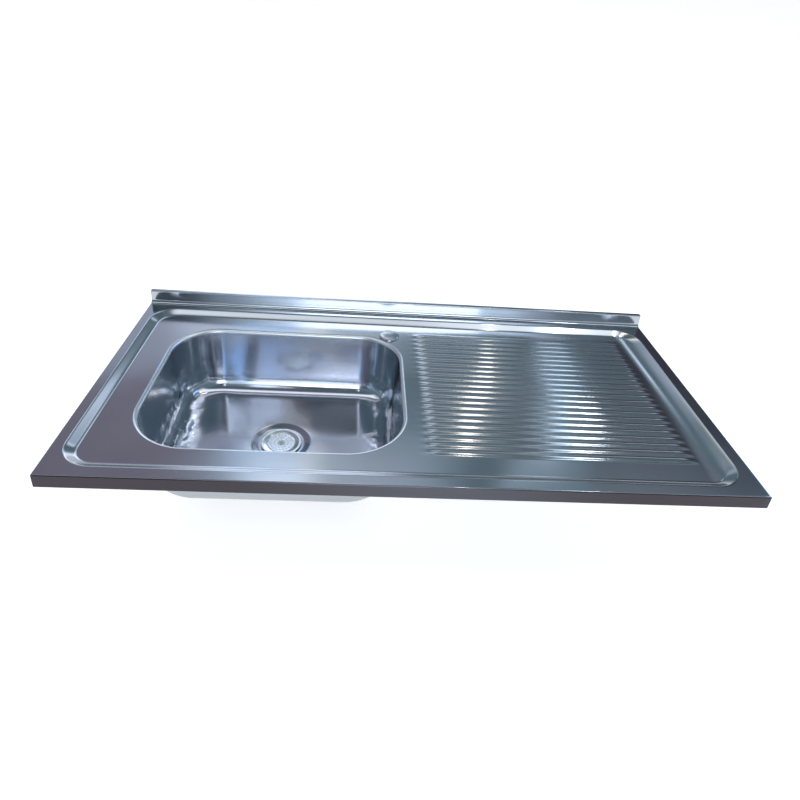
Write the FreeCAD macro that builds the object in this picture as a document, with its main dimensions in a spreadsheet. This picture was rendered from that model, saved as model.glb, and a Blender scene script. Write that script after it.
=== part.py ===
import FreeCAD, Part
import os
from types import SimpleNamespace

import Sketcher

# Sit-on kitchen sink of pressed stainless steel: one bowl on the left, a ribbed drainer on the right.
# Millimetres. X runs to the right along the front, Y to the wall, Z up. The origin is the middle of
# the front lip's underside, which rests on the cabinet.

# Driving sizes, grouped by the piece that they belong to.
SIZES = {
    # whole sink
    "sink_width": 1200,
    "sink_depth": 600,
    "gauge": 0.8,
    "cut_overrun": 5,
    # folded edges
    "apron_height": 25,
    "lip_width": 16,
    "lip_gap": 1.5,
    "fold_radius": 2.5,
    "upstand_height": 30,
    "upstand_fold": 12,
    "cove_radius": 8,
    # stepped recess
    "left_land": 20,
    "right_land": 24,
    "front_land": 24,
    "rear_land": 26,
    "recess_depth": 10,
    "step_run": 17,
    "recess_corner": 57,
    "step_foot_radius": 9,
    "shoulder_run": 53,
    # drainer ribs
    "rib_first_row": 96,
    "rib_pitch": 19.3,
    "rib_width": 12,
    "rib_height": 2.6,
    "rib_crown_width": 3.6,
    "rib_shoulder_width": 8,
    "rib_shoulder_height": 1.9,
    "rib_start": 621,
    "rib_end_from_right": 77,
    "rib_start_ramp": 8,
    "rib_end_ramp": 36,
    # bowl
    "bowl_from_left": 344,
    "bowl_from_front": 288,
    "bowl_length": 488,
    "bowl_breadth": 396,
    "bowl_depth": 160,
    "bowl_front_corner": 108,
    "bowl_rear_corner": 92,
    "bowl_draft_run": 12,
    "bowl_foot_radius": 38,
    "bowl_lip_bevel": 3.5,
    "neck_depth": 8,
    "dish_radius": 64,
    "dish_drop": 3,
    # waste
    "seat_radius": 46,
    "seat_hole_radius": 35,
    "flange_radius": 42.5,
    "flange_sheet": 1.2,
    "flange_ring_width": 5,
    "flange_slope_drop": 2.4,
    "flange_throat_radius": 30,
    "ledge_width": 3.5,
    "cup_depth": 20,
    "cup_drain_radius": 5,
    "cup_drain_circle": 16,
    "flange_seal_height": 2,
    "under_seal_height": 2.5,
    "body_wall": 3,
    "body_flange_height": 4,
    "body_cup_depth": 26,
    "body_cone_height": 10,
    "tail_radius": 23.9,
    "tail_length": 34,
    "screw_radius": 3,
    "screw_head_radius": 6,
    "screw_head_height": 2.5,
    "screw_length": 18,
    "fit_clearance": 0.1,
    "boss_radius": 7,
    # strainer
    "strainer_radius": 29,
    "strainer_sheet": 1,
    "strainer_hole_radius": 1.6,
    "strainer_ring_step": 7.5,
    "button_radius": 5,
    "button_height": 1.2,
    "peg_radius": 3,
    "peg_length": 14,
    # tap hole cap
    "tap_from_left": 567,
    "tap_from_rear": 105,
    "tap_hole_radius": 17.5,
    "cap_radius": 22.5,
    "cap_height": 5,
    "cap_sheet": 1,
    "cap_edge_run": 4,
    "cap_edge_drop": 2.5,
    "cap_seal_height": 1,
    "plug_clearance": 0.3,
    "plug_wall": 2,
    "plug_depth": 12,
    "plug_slot": 3,
    # stiffeners and pads under the drainer and the bowl
    "stiffener_length": 380,
    "stiffener_height": 12,
    "stiffener_crown": 24,
    "stiffener_foot": 12,
    "stiffener_sheet": 1,
    "pad_height": 2,
    "drainer_pad_margin": 11,
    "drainer_pad_breadth": 300,
    "bowl_pad_length": 340,
    "bowl_pad_breadth": 250,
    "pad_corner": 20,
    "pad_hole_radius": 72,
    # fixing brackets
    "panel_thickness": 18,
    "panel_clearance": 0.5,
    "left_stud_from_side": 62,
    "right_stud_from_side": 92,
    "stud_from_front": 110,
    "stud_from_rear": 130,
    "stud_radius": 3,
    "stud_length": 14,
    "plate_side": 26,
    "plate_height": 1.2,
    "bracket_sheet": 2,
    "bracket_width": 26,
    "bracket_drop": 56,
    "bracket_tail": 12,
    "bracket_corner": 6,
    "bracket_bend": 1.5,
    "screw_hole_radius": 2.5,
    "screw_hole_drop": 38,
    "swivel_clearance": 0.1,
    "washer_radius": 6.2,
    "washer_height": 1.2,
    "nut_radius": 5.7,
    "nut_height": 5,
}
RIB_COUNT = 22
CUP_DRAIN_COUNT = 6
PLUG_SLOT_COUNT = 6
STRAINER_RING_COUNTS = (8, 14, 20)
# Where the two stiffeners cross the ribs, as shares of the ribs' length from their left end.
STIFFENER_SHARES = (0.1875, 0.725)

# Two places nearer to each other than this are the same place.
TOUCH = 1e-6

doc = FreeCAD.newDocument("KitchenSink")


# Sizes that carry their own formula, so that every feature stays bound to the sheet.
class Size:
    def __init__(self, value, words):
        self.value = value
        self.words = words

    def __add__(self, other):
        other = as_size(other)
        return Size(self.value + other.value, f"({self.words} + {other.words})")

    def __sub__(self, other):
        other = as_size(other)
        return Size(self.value - other.value, f"({self.words} - {other.words})")

    def __mul__(self, other):
        other = as_size(other)
        return Size(self.value * other.value, f"({self.words} * {other.words})")

    def __truediv__(self, other):
        other = as_size(other)
        return Size(self.value / other.value, f"({self.words} / {other.words})")

    def __rmul__(self, factor):
        return as_size(factor) * self

    def __neg__(self):
        return Size(-self.value, f"(0 - {self.words})")


def as_size(number):
    return number if isinstance(number, Size) else Size(float(number), str(number))


def root(size):
    return Size(size.value ** 0.5, f"sqrt({size.words})")


def bend_shift(thickness, rise, run):
    # how far a bend line moves sideways from one skin of a sheet to the other
    slope_length = root(rise * rise + run * run)
    return thickness * (slope_length - run) / rise


def skin_corner(lower_slope, upper_slope):
    # A corner between two slopes, as it lies on a skin one unit below: how far in it moves and how
    # far down. Slopes are rise over run.
    lower_length = root(lower_slope * lower_slope + 1)
    upper_length = root(upper_slope * upper_slope + 1)
    across = (lower_length - upper_length) / (lower_slope - upper_slope)
    return across, lower_length - lower_slope * across


def write_sheet():
    sheet = doc.addObject("Spreadsheet::Sheet", "Dimensions")
    for row, (name, value) in enumerate(SIZES.items(), start=1):
        sheet.set(f"A{row}", name)
        sheet.set(f"B{row}", str(value))
        sheet.setAlias(f"B{row}", name)
    doc.recompute()
    return SimpleNamespace(
        **{name: Size(float(sheet.get(name)), f"Dimensions.{name}") for name in SIZES}
    )


d = write_sheet()
ZERO = as_size(0)

# Places that several pieces share.
half_width = d.sink_width / 2
front = -d.lip_width / 2
rear = front + d.sink_depth
wall_face = rear - d.upstand_fold
rim = d.apron_height
floor = rim - d.recess_depth
floor_under = floor - d.gauge
neck_foot = floor - d.neck_depth
bowl_x = d.bowl_from_left - half_width
bowl_y = front + d.bowl_from_front
bowl_floor = rim - d.bowl_depth
bowl_under = bowl_floor - d.gauge
seat = bowl_floor - d.dish_drop
seat_under = seat - d.gauge
tap_x = d.tap_from_left - half_width
tap_y = rear - d.tap_from_rear
rib_start = d.rib_start - half_width
rib_end = half_width - d.rib_end_from_right


def bind(feature, **sizes):
    for name, size in sizes.items():
        feature.setExpression(name, as_size(size).words)


def move(feature, x=ZERO, y=ZERO, z=ZERO):
    for axis, size in zip("xyz", (x, y, z)):
        feature.setExpression(f"Placement.Base.{axis}", size.words)


def new_body(label):
    body = doc.addObject("PartDesign::Body", label)
    body.Label = label
    return body


def sketch_on(body, role, level=ZERO):
    # level is measured along the plane's own normal, which is -Y on the XZ plane
    sketch = body.newObject("Sketcher::SketchObject", "Outline")
    plane = next(item for item in body.Origin.OriginFeatures if item.Role == role)
    sketch.AttachmentSupport = [(plane, "")]
    sketch.MapMode = "FlatFace"
    sketch.setExpression("AttachmentOffset.Base.z", level.words)
    return sketch


def constrain(sketch, kind, size, *places):
    number = sketch.addConstraint(Sketcher.Constraint(kind, *places, size.value))
    sketch.setExpression(f"Constraints[{number}]", size.words)


def polygon(sketch, points):
    corners = [FreeCAD.Vector(across.value, up.value, 0) for across, up in points]
    count = len(points)
    for index in range(count):
        sketch.addGeometry(Part.LineSegment(corners[index], corners[(index + 1) % count]), False)
    for index in range(count):
        sketch.addConstraint(Sketcher.Constraint("Coincident", index, 2, (index + 1) % count, 1))
    for index, (across, up) in enumerate(points):
        constrain(sketch, "DistanceX", across, -1, 1, index, 1)
        constrain(sketch, "DistanceY", up, -1, 1, index, 1)


def rectangle(sketch, left, right, low, high):
    polygon(sketch, [(left, low), (right, low), (right, high), (left, high)])


def hexagon(sketch, across, up, radius):
    half = radius / 2
    flat = radius * root(as_size(3)) / 2
    polygon(sketch, [
        (across + radius, up),
        (across + half, up + flat),
        (across - half, up + flat),
        (across - radius, up),
        (across - half, up - flat),
        (across + half, up - flat),
    ])


def circle(sketch, across, up, radius):
    centre = FreeCAD.Vector(across.value, up.value, 0)
    number = sketch.addGeometry(
        Part.Circle(centre, FreeCAD.Vector(0, 0, 1), radius.value), False
    )
    constrain(sketch, "Radius", radius, number)
    constrain(sketch, "DistanceX", across, -1, 1, number, 3)
    constrain(sketch, "DistanceY", up, -1, 1, number, 3)


def rounded_rectangle(sketch, left, right, low, high, low_radius, high_radius):
    # sides and corner arcs in turn, anticlockwise from the low side
    x_min, x_max, y_min, y_max = left.value, right.value, low.value, high.value
    low_arc, high_arc = low_radius.value, high_radius.value
    corners = [
        (x_max - low_arc, y_min + low_arc, low_arc, -90),
        (x_max - high_arc, y_max - high_arc, high_arc, 0),
        (x_min + high_arc, y_max - high_arc, high_arc, 90),
        (x_min + low_arc, y_min + low_arc, low_arc, 180),
    ]
    sides = [
        ((x_min + low_arc, y_min), (x_max - low_arc, y_min)),
        ((x_max, y_min + low_arc), (x_max, y_max - high_arc)),
        ((x_max - high_arc, y_max), (x_min + high_arc, y_max)),
        ((x_min, y_max - high_arc), (x_min, y_min + low_arc)),
    ]
    quarter = FreeCAD.Units.Quantity("90 deg").getValueAs("rad").Value
    for (start, end), (x, y, radius, first_angle) in zip(sides, corners):
        sketch.addGeometry(Part.LineSegment(FreeCAD.Vector(*start), FreeCAD.Vector(*end)), False)
        arc = Part.Circle(FreeCAD.Vector(x, y, 0), FreeCAD.Vector(0, 0, 1), radius)
        first = first_angle / 90 * quarter
        sketch.addGeometry(Part.ArcOfCircle(arc, first, first + quarter), False)
    for index in range(8):
        sketch.addConstraint(Sketcher.Constraint("Tangent", index, 2, (index + 1) % 8, 1))
    for line, direction in ((0, "Horizontal"), (2, "Vertical"), (4, "Horizontal"), (6, "Vertical")):
        sketch.addConstraint(Sketcher.Constraint(direction, line))
    constrain(sketch, "DistanceY", low, -1, 1, 0, 1)
    constrain(sketch, "DistanceX", right, -1, 1, 2, 1)
    constrain(sketch, "DistanceY", high, -1, 1, 4, 1)
    constrain(sketch, "DistanceX", left, -1, 1, 6, 1)
    for arc, radius in ((1, low_radius), (3, high_radius), (5, high_radius), (7, low_radius)):
        constrain(sketch, "Radius", radius, arc)


def pad(body, sketch, length, both_ways=False, backwards=False):
    feature = body.newObject("PartDesign::Pad", "Pad")
    feature.Profile = sketch
    feature.SideType = "Symmetric" if both_ways else "One side"
    feature.Reversed = backwards
    bind(feature, Length=length)
    doc.recompute()
    return feature


def pocket(body, sketch, length, both_ways=False, backwards=False):
    feature = body.newObject("PartDesign::Pocket", "Pocket")
    feature.Profile = sketch
    feature.SideType = "Symmetric" if both_ways else "One side"
    feature.Reversed = backwards
    bind(feature, Length=length)
    doc.recompute()
    return feature


def loft(body, kind, first, second):
    feature = body.newObject(f"PartDesign::{kind}", kind)
    feature.Profile = first
    feature.Sections = [second]
    feature.Ruled = True
    doc.recompute()
    return feature


def edges_where(shape, test):
    # names of the edges whose whole box passes the test
    return [
        f"Edge{number}"
        for number, edge in enumerate(shape.Edges, start=1)
        if test(edge.BoundBox)
    ]


def near(one, other):
    return abs(one - other) < TOUCH


def round_edges(body, feature, radius, test):
    names = edges_where(feature.Shape, test)
    fillet = body.newObject("PartDesign::Fillet", "Fillet")
    fillet.Base = (feature, names)
    bind(fillet, Radius=radius)
    doc.recompute()
    return fillet


def bevel_edges(body, feature, size, test):
    names = edges_where(feature.Shape, test)
    bevel = body.newObject("PartDesign::Chamfer", "Bevel")
    bevel.Base = (feature, names)
    bind(bevel, Size=size)
    doc.recompute()
    return bevel


def turned(label, points, x=ZERO, y=ZERO):
    # a piece turned about the vertical through x, y from its half section of (radius, height)
    body = new_body(label)
    sketch = sketch_on(body, "XZ_Plane")
    polygon(sketch, points)
    revolution = body.newObject("PartDesign::Revolution", "Revolution")
    revolution.Profile = sketch
    revolution.ReferenceAxis = (sketch, ["V_Axis"])
    revolution.Angle = 360
    move(body, x, y)
    doc.recompute()
    return body


def ring(label, inner, outer, low, high, x=ZERO, y=ZERO):
    return turned(label, [(inner, low), (outer, low), (outer, high), (inner, high)], x, y)


def cut(name, base, tool):
    feature = doc.addObject("Part::Cut", name)
    feature.Base = base
    feature.Tool = tool
    feature.Label = name
    doc.recompute()
    return feature


def fuse(name, base, tool):
    feature = doc.addObject("Part::Fuse", name)
    feature.Base = base
    feature.Tool = tool
    feature.Label = name
    doc.recompute()
    return feature


# Worktop: one pressed sheet. Its upper skin and its underside are each made as the top of a solid
# block, the second one sheet thickness (inset) inside the first, and the sheet is their difference.
def pressed_block(label, inset, base, cut_foot):
    body = new_body(label)
    section = sketch_on(body, "YZ_Plane")
    front_skin = front + inset
    rear_skin = rear - inset
    wall_skin = wall_face + inset
    rim_skin = rim - inset
    floor_skin = floor - inset
    crest = rim + d.upstand_height - inset
    polygon(section, [
        (front_skin, base),
        (front_skin, rim_skin),
        (wall_skin, rim_skin),
        (wall_skin, crest),
        (rear_skin, crest),
        (rear_skin, base),
    ])
    block = pad(body, section, 2 * (half_width - inset), both_ways=True)

    def along(y, z):
        def test(box):
            flat = near(box.YLength, 0) and near(box.ZLength, 0)
            return flat and near(box.YMin, y.value) and near(box.ZMin, z.value)
        return test

    front_fold = along(front_skin, rim_skin)
    crest_front = along(wall_skin, crest)
    crest_rear = along(rear_skin, crest)
    folds = round_edges(
        body, block, d.fold_radius - inset,
        lambda box: front_fold(box) or crest_front(box) or crest_rear(box),
    )
    cove = round_edges(body, folds, d.cove_radius + inset, along(wall_skin, rim_skin))

    step_shift = bend_shift(inset, d.recess_depth, d.step_run)
    left = d.left_land - half_width - step_shift
    right = half_width - d.right_land + step_shift
    low = front + d.front_land - step_shift
    high = wall_face - d.rear_land + step_shift
    corner = d.recess_corner + step_shift
    upper = sketch_on(body, "XY_Plane", rim_skin)
    rounded_rectangle(upper, left, right, low, high, corner, corner)
    lower = sketch_on(body, "XY_Plane", floor_skin)
    run = d.step_run
    rounded_rectangle(lower, left + run, right - run, low + run, high - run, corner - run, corner - run)
    recess = loft(body, "SubtractiveLoft", upper, lower)
    foot = round_edges(
        body, recess, d.step_foot_radius + inset,
        lambda box: near(box.ZLength, 0) and near(box.ZMin, floor_skin.value),
    )

    # the right side of the recess rises in one long concave sweep
    shoulder_start = half_width - d.right_land - d.shoulder_run
    sweep = (d.shoulder_run * d.shoulder_run + d.recess_depth * d.recess_depth) / (2 * d.recess_depth)
    sweep_skin = sweep + inset
    sweep_rise = floor + sweep - rim_skin
    shoulder_end = shoulder_start + root(sweep_skin * sweep_skin - sweep_rise * sweep_rise)
    section = sketch_on(body, "XZ_Plane", -high)
    shoulder_section(section, shoulder_start, shoulder_end, floor_skin, rim_skin, floor + sweep, base)
    pad(body, section, high - low)

    # cut-out for the bowl: the sheet turns down over a bevelled lip into a short neck
    opening = sketch_on(body, "XY_Plane", cut_foot)
    rounded_rectangle(
        opening,
        bowl_x - d.bowl_length / 2 - inset,
        bowl_x + d.bowl_length / 2 + inset,
        bowl_y - d.bowl_breadth / 2 - inset,
        bowl_y + d.bowl_breadth / 2 + inset,
        d.bowl_front_corner + inset,
        d.bowl_rear_corner + inset,
    )
    hole = pocket(body, opening, rim - cut_foot, backwards=True)
    margin = d.bowl_length / 2 + d.bowl_lip_bevel

    def on_mouth(box):
        level = near(box.ZLength, 0) and near(box.ZMin, floor_skin.value)
        return level and box.XMin > (bowl_x - margin).value and box.XMax < (bowl_x + margin).value

    lip = d.bowl_lip_bevel
    bevel_edges(body, hole, lip - inset + bend_shift(inset, lip, lip), on_mouth)
    return body


def shoulder_section(sketch, start, end, low, high, centre_height, base):
    points = [(start, low), (end, high), (end, base), (start, base)]
    vectors = [FreeCAD.Vector(across.value, up.value, 0) for across, up in points]
    centre = FreeCAD.Vector(start.value, centre_height.value, 0)
    arc = Part.Circle(centre, FreeCAD.Vector(0, 0, 1), (vectors[0] - centre).Length)
    sketch.addGeometry(Part.ArcOfCircle(arc, arc.parameter(vectors[0]), arc.parameter(vectors[1])), False)
    for index in (1, 2, 3):
        sketch.addGeometry(Part.LineSegment(vectors[index], vectors[(index + 1) % 4]), False)
    for index in range(4):
        sketch.addConstraint(Sketcher.Constraint("Coincident", index, 2, (index + 1) % 4, 1))
    for index, (across, up) in enumerate(points):
        constrain(sketch, "DistanceX", across, -1, 1, index, 1)
        constrain(sketch, "DistanceY", up, -1, 1, index, 1)
    constrain(sketch, "DistanceX", start, -1, 1, 0, 3)


def rib_field(label, inset):
    # ribs are beads of five flats that stand out of the floor; the inner skin's corners lie on the
    # same bend lines
    widths = (d.rib_width / 2, d.rib_shoulder_width / 2, d.rib_crown_width / 2)
    heights = (ZERO, d.rib_shoulder_height, d.rib_height)
    flank = (heights[1] - heights[0]) / (widths[0] - widths[1])
    crown = (heights[2] - heights[1]) / (widths[1] - widths[2])
    corners = []
    for width, height, slopes in zip(widths, heights, ((ZERO, flank), (flank, crown), (crown, ZERO))):
        across, down = skin_corner(*slopes)
        corners.append((width - inset * across, floor + height - inset * down))
    first_row = front + d.rib_first_row
    start_shift = bend_shift(inset, d.rib_height, d.rib_start_ramp)
    end_shift = bend_shift(inset, d.rib_height, d.rib_end_ramp)
    start = rib_start + start_shift
    end = rib_end - end_shift
    foot = floor - inset
    crest = foot + d.rib_height
    sunk = foot - d.rib_height
    body = new_body(label)
    section = sketch_on(body, "YZ_Plane", start)
    half_section = [(corners[0][0], sunk)] + corners
    right_side = [(first_row + across, up) for across, up in half_section]
    left_side = [(first_row - across, up) for across, up in reversed(half_section)]
    polygon(section, right_side + left_side)
    bead = pad(body, section, end - start)
    pattern = body.newObject("PartDesign::LinearPattern", "Ribs")
    pattern.Originals = [bead]
    pattern.Direction = (section, ["H_Axis"])
    pattern.Occurrences = RIB_COUNT
    rows = (RIB_COUNT - 1) * d.rib_pitch
    bind(pattern, Length=rows)
    body.Tip = pattern
    slab = sketch_on(body, "YZ_Plane", start)
    rectangle(slab, first_row, first_row + rows, sunk - d.rib_height, sunk + d.rib_height / 2)
    pad(body, slab, end - start)

    # ramps at both ends
    above = crest + d.cut_overrun
    ramps = sketch_on(body, "XZ_Plane", -(first_row + rows / 2))
    polygon(ramps, [
        (start + d.rib_start_ramp, crest),
        (start + d.rib_start_ramp, above),
        (start - d.cut_overrun, above),
        (start - d.cut_overrun, foot),
        (start, foot),
    ])
    pocket(body, ramps, rows + 2 * d.rib_width, both_ways=True)
    ramps = sketch_on(body, "XZ_Plane", -(first_row + rows / 2))
    polygon(ramps, [
        (end - d.rib_end_ramp, crest),
        (end, foot),
        (end + d.cut_overrun, foot),
        (end + d.cut_overrun, above),
        (end - d.rib_end_ramp, above),
    ])
    pocket(body, ramps, rows + 2 * d.rib_width, both_ways=True)
    return body


def open_underside(body):
    # the space between the returned lips, with a slit beside each side lip's two ends
    side = half_width - d.lip_width
    wide = half_width - d.gauge
    near_lip = front + d.lip_width
    far_lip = rear - d.lip_width
    sketch = sketch_on(body, "XY_Plane", -d.cut_overrun)
    polygon(sketch, [
        (-wide, near_lip),
        (wide, near_lip),
        (wide, near_lip + d.lip_gap),
        (side, near_lip + d.lip_gap),
        (side, far_lip - d.lip_gap),
        (wide, far_lip - d.lip_gap),
        (wide, far_lip),
        (-wide, far_lip),
        (-wide, far_lip - d.lip_gap),
        (-side, far_lip - d.lip_gap),
        (-side, near_lip + d.lip_gap),
        (-wide, near_lip + d.lip_gap),
    ])
    pad(body, sketch, d.cut_overrun + 2 * d.gauge)


def make_worktop():
    skin_block = pressed_block("skin_block", ZERO, ZERO, -d.cut_overrun)
    skin = fuse("worktop_skin", skin_block, rib_field("skin_ribs", ZERO))
    under_block = pressed_block("under_block", d.gauge, d.gauge, neck_foot)
    open_underside(under_block)
    hollow = fuse("worktop_hollow", under_block, rib_field("under_ribs", d.gauge))
    sheet = cut("pressed_sheet", skin, hollow)
    punch = doc.addObject("Part::Cylinder", "tap_punch")
    bind(punch, Radius=d.tap_hole_radius, Height=rim)
    move(punch, tap_x, tap_y)
    return cut("worktop", sheet, punch)


# Bowl: drawn from one sheet, again the difference of two blocks. Its walls lean in from the neck to a
# rounded foot, and the floor dishes down to a flat seat for the waste.
def bowl_block(label, wall):
    # wall is what this skin lies outside the bowl's inner face
    body = new_body(label)
    half_length = d.bowl_length / 2 + wall
    half_breadth = d.bowl_breadth / 2 + wall
    front_corner = d.bowl_front_corner + wall
    rear_corner = d.bowl_rear_corner + wall
    foot = bowl_floor - wall
    lean = d.bowl_draft_run * (neck_foot - foot) / (neck_foot - bowl_under)
    mouth = sketch_on(body, "XY_Plane", neck_foot)
    rounded_rectangle(
        mouth, -half_length, half_length, -half_breadth, half_breadth, front_corner, rear_corner
    )
    bottom = sketch_on(body, "XY_Plane", foot)
    rounded_rectangle(
        bottom,
        lean - half_length,
        half_length - lean,
        lean - half_breadth,
        half_breadth - lean,
        front_corner - lean,
        rear_corner - lean,
    )
    walls = loft(body, "AdditiveLoft", mouth, bottom)
    round_edges(
        body, walls, d.bowl_foot_radius + wall,
        lambda box: near(box.ZLength, 0) and near(box.ZMin, foot.value),
    )
    section = sketch_on(body, "XZ_Plane")
    polygon(section, [
        (ZERO, foot),
        (d.dish_radius, foot),
        (d.seat_radius, seat - wall),
        (ZERO, seat - wall),
    ])
    dish = body.newObject("PartDesign::Revolution", "Dish")
    dish.Profile = section
    dish.ReferenceAxis = (section, ["V_Axis"])
    dish.Angle = 360
    move(body, bowl_x, bowl_y)
    doc.recompute()
    return body


def make_bowl():
    sheet = cut("bowl_sheet", bowl_block("bowl_outside", d.gauge), bowl_block("bowl_inside", ZERO))
    punch = doc.addObject("Part::Cylinder", "waste_punch")
    bind(punch, Radius=d.seat_hole_radius, Height=d.dish_drop + d.gauge + d.cut_overrun)
    move(punch, bowl_x, bowl_y, seat_under - d.cut_overrun)
    return cut("bowl", sheet, punch)


# Waste: a pressed steel flange and cup above the bowl, a moulded body with the outlet tail below it,
# a soft washer on each side of the seat, and one long screw that pulls them together.
flange_under = seat + d.flange_seal_height
flange_top = flange_under + d.flange_sheet
ledge = flange_top - d.flange_slope_drop - d.strainer_sheet
cup_radius = d.flange_throat_radius - d.ledge_width
cup_floor = ledge - d.cup_depth
cup_under = cup_floor - d.flange_sheet
under_seal_foot = seat_under - d.under_seal_height
body_flange_foot = under_seal_foot - d.body_flange_height
body_cup_foot = body_flange_foot - d.body_cup_depth
tail_top = body_cup_foot - d.body_cone_height
tail_foot = tail_top - d.tail_length


def make_waste_flange():
    ring_inner = d.flange_radius - d.flange_ring_width
    sheet = d.flange_sheet
    slope_foot = flange_top - d.flange_slope_drop
    throat = d.flange_throat_radius
    body = turned("waste_flange", [
        (d.flange_radius, flange_under),
        (d.flange_radius, flange_top),
        (ring_inner, flange_top),
        (throat, slope_foot),
        (throat, ledge),
        (cup_radius, ledge),
        (cup_radius, cup_floor),
        (d.screw_radius + d.fit_clearance, cup_floor),
        (d.screw_radius + d.fit_clearance, cup_under),
        (cup_radius + sheet, cup_under),
        (cup_radius + sheet, ledge - sheet),
        (throat + sheet, ledge - sheet),
        (throat + sheet, slope_foot - sheet),
        (ring_inner, flange_under),
    ], bowl_x, bowl_y)
    drain = sketch_on(body, "XY_Plane", cup_under)
    circle(drain, d.cup_drain_circle, ZERO, d.cup_drain_radius)
    hole = pocket(body, drain, sheet + d.cut_overrun, backwards=True)
    around(body, hole, drain, CUP_DRAIN_COUNT)
    return body


def around(body, feature, sketch, count):
    pattern = body.newObject("PartDesign::PolarPattern", "Around")
    pattern.Originals = [feature]
    pattern.Axis = (sketch, ["N_Axis"])
    pattern.Angle = 360
    pattern.Occurrences = count
    body.Tip = pattern
    doc.recompute()
    return pattern


def make_flange_seal():
    inner = d.flange_radius - d.flange_ring_width
    return ring("flange_seal", inner, d.flange_radius, seat, flange_under, bowl_x, bowl_y)


def make_under_seal():
    inner = d.seat_hole_radius - d.body_wall
    return ring("under_seal", inner, d.flange_radius, under_seal_foot, seat_under, bowl_x, bowl_y)


def make_waste_body():
    inner = d.seat_hole_radius - d.body_wall
    outer = d.seat_hole_radius
    bore = d.tail_radius - d.body_wall
    cone_shift = bend_shift(d.body_wall, outer - d.tail_radius, d.body_cone_height)
    body = turned("waste_body", [
        (inner, under_seal_foot),
        (inner, body_cup_foot + cone_shift),
        (bore, tail_top + cone_shift),
        (bore, tail_foot),
        (d.tail_radius, tail_foot),
        (d.tail_radius, tail_top),
        (outer, body_cup_foot),
        (outer, body_flange_foot),
        (d.flange_radius, body_flange_foot),
        (d.flange_radius, under_seal_foot),
    ], bowl_x, bowl_y)
    # two crossed webs carry the boss that takes the screw
    boss_height = cup_under - body_cup_foot
    half = d.body_wall / 2
    reach = inner + half
    for across, along in ((reach, half), (half, reach)):
        web = sketch_on(body, "XY_Plane", body_cup_foot)
        rectangle(web, -across, across, -along, along)
        pad(body, web, boss_height)
    boss = sketch_on(body, "XY_Plane", body_cup_foot)
    circle(boss, ZERO, ZERO, d.boss_radius)
    pad(body, boss, boss_height)
    thread = sketch_on(body, "XY_Plane", cup_under)
    circle(thread, ZERO, ZERO, d.screw_radius + d.fit_clearance)
    pocket(body, thread, boss_height + d.cut_overrun)
    return body


def make_clamp_screw():
    head_top = cup_floor + d.screw_head_height
    return turned("clamp_screw", [
        (ZERO, cup_floor - d.screw_length),
        (d.screw_radius, cup_floor - d.screw_length),
        (d.screw_radius, cup_floor),
        (d.screw_head_radius, cup_floor),
        (d.screw_head_radius, head_top),
        (ZERO, head_top),
    ], bowl_x, bowl_y)


# Strainer: a steel plate punched with rings of small hexagons, on the cup's ledge, with a moulded peg
# through its middle.
strainer_top = ledge + d.strainer_sheet


def make_strainer_plate():
    bore = d.peg_radius + d.fit_clearance
    body = ring("strainer_plate", bore, d.strainer_radius, ledge, strainer_top, bowl_x, bowl_y)
    for number, count in enumerate(STRAINER_RING_COUNTS, start=1):
        sketch = sketch_on(body, "XY_Plane", ledge)
        hexagon(sketch, number * d.strainer_ring_step, ZERO, d.strainer_hole_radius)
        hole = pocket(body, sketch, d.strainer_sheet + d.cut_overrun, backwards=True)
        around(body, hole, sketch, count)
    return body


def make_strainer_post():
    return turned("strainer_post", [
        (ZERO, ledge - d.peg_length),
        (d.peg_radius, ledge - d.peg_length),
        (d.peg_radius, strainer_top),
        (d.button_radius, strainer_top),
        (d.button_radius - d.button_height / 2, strainer_top + d.button_height),
        (ZERO, strainer_top + d.button_height),
    ], bowl_x, bowl_y)


# Cap over the tap hole: a domed steel disc with a folded edge on a foam ring, held by a plug whose
# spring fingers reach through the hole.
seal_top = floor + d.cap_seal_height
cap_under = floor + d.cap_height - d.cap_sheet
plug_foot = floor_under - d.plug_depth


def make_cap_disc():
    top = floor + d.cap_height
    inner = d.cap_radius - d.cap_sheet
    return turned("cap_disc", [
        (ZERO, top),
        (d.cap_radius - d.cap_edge_run, top),
        (d.cap_radius, top - d.cap_edge_drop),
        (d.cap_radius, floor),
        (inner, floor),
        (inner, cap_under - d.cap_edge_drop),
        (inner - d.cap_edge_run, cap_under),
        (ZERO, cap_under),
    ], tap_x, tap_y)


def make_cap_seal():
    outer = d.cap_radius - d.cap_sheet
    return ring("cap_seal", d.tap_hole_radius, outer, floor, seal_top, tap_x, tap_y)


def make_cap_plug():
    outer = d.tap_hole_radius - d.plug_clearance
    inner = outer - d.plug_wall
    body = turned("cap_plug", [
        (ZERO, cap_under),
        (ZERO, cap_under - d.plug_wall),
        (inner, cap_under - d.plug_wall),
        (inner, plug_foot),
        (inner + d.plug_wall / 2, plug_foot),
        (outer, plug_foot + d.plug_wall),
        (outer, cap_under),
    ], tap_x, tap_y)
    slot = sketch_on(body, "XY_Plane", plug_foot)
    half = d.plug_slot / 2
    rectangle(slot, outer / 2, outer + d.cut_overrun, -half, half)
    cut_slot = pocket(body, slot, d.plug_depth, backwards=True)
    around(body, cut_slot, slot, PLUG_SLOT_COUNT)
    return body


# Stiffeners: hat-section bars across the drainer, spot-welded to the flats between the ribs.
rib_middle = front + d.rib_first_row + (RIB_COUNT - 1) * d.rib_pitch / 2
left_stiffener, right_stiffener = (
    rib_start + share * (rib_end - rib_start) for share in STIFFENER_SHARES
)
stiffener_half = d.stiffener_crown / 2 + d.stiffener_foot


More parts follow.
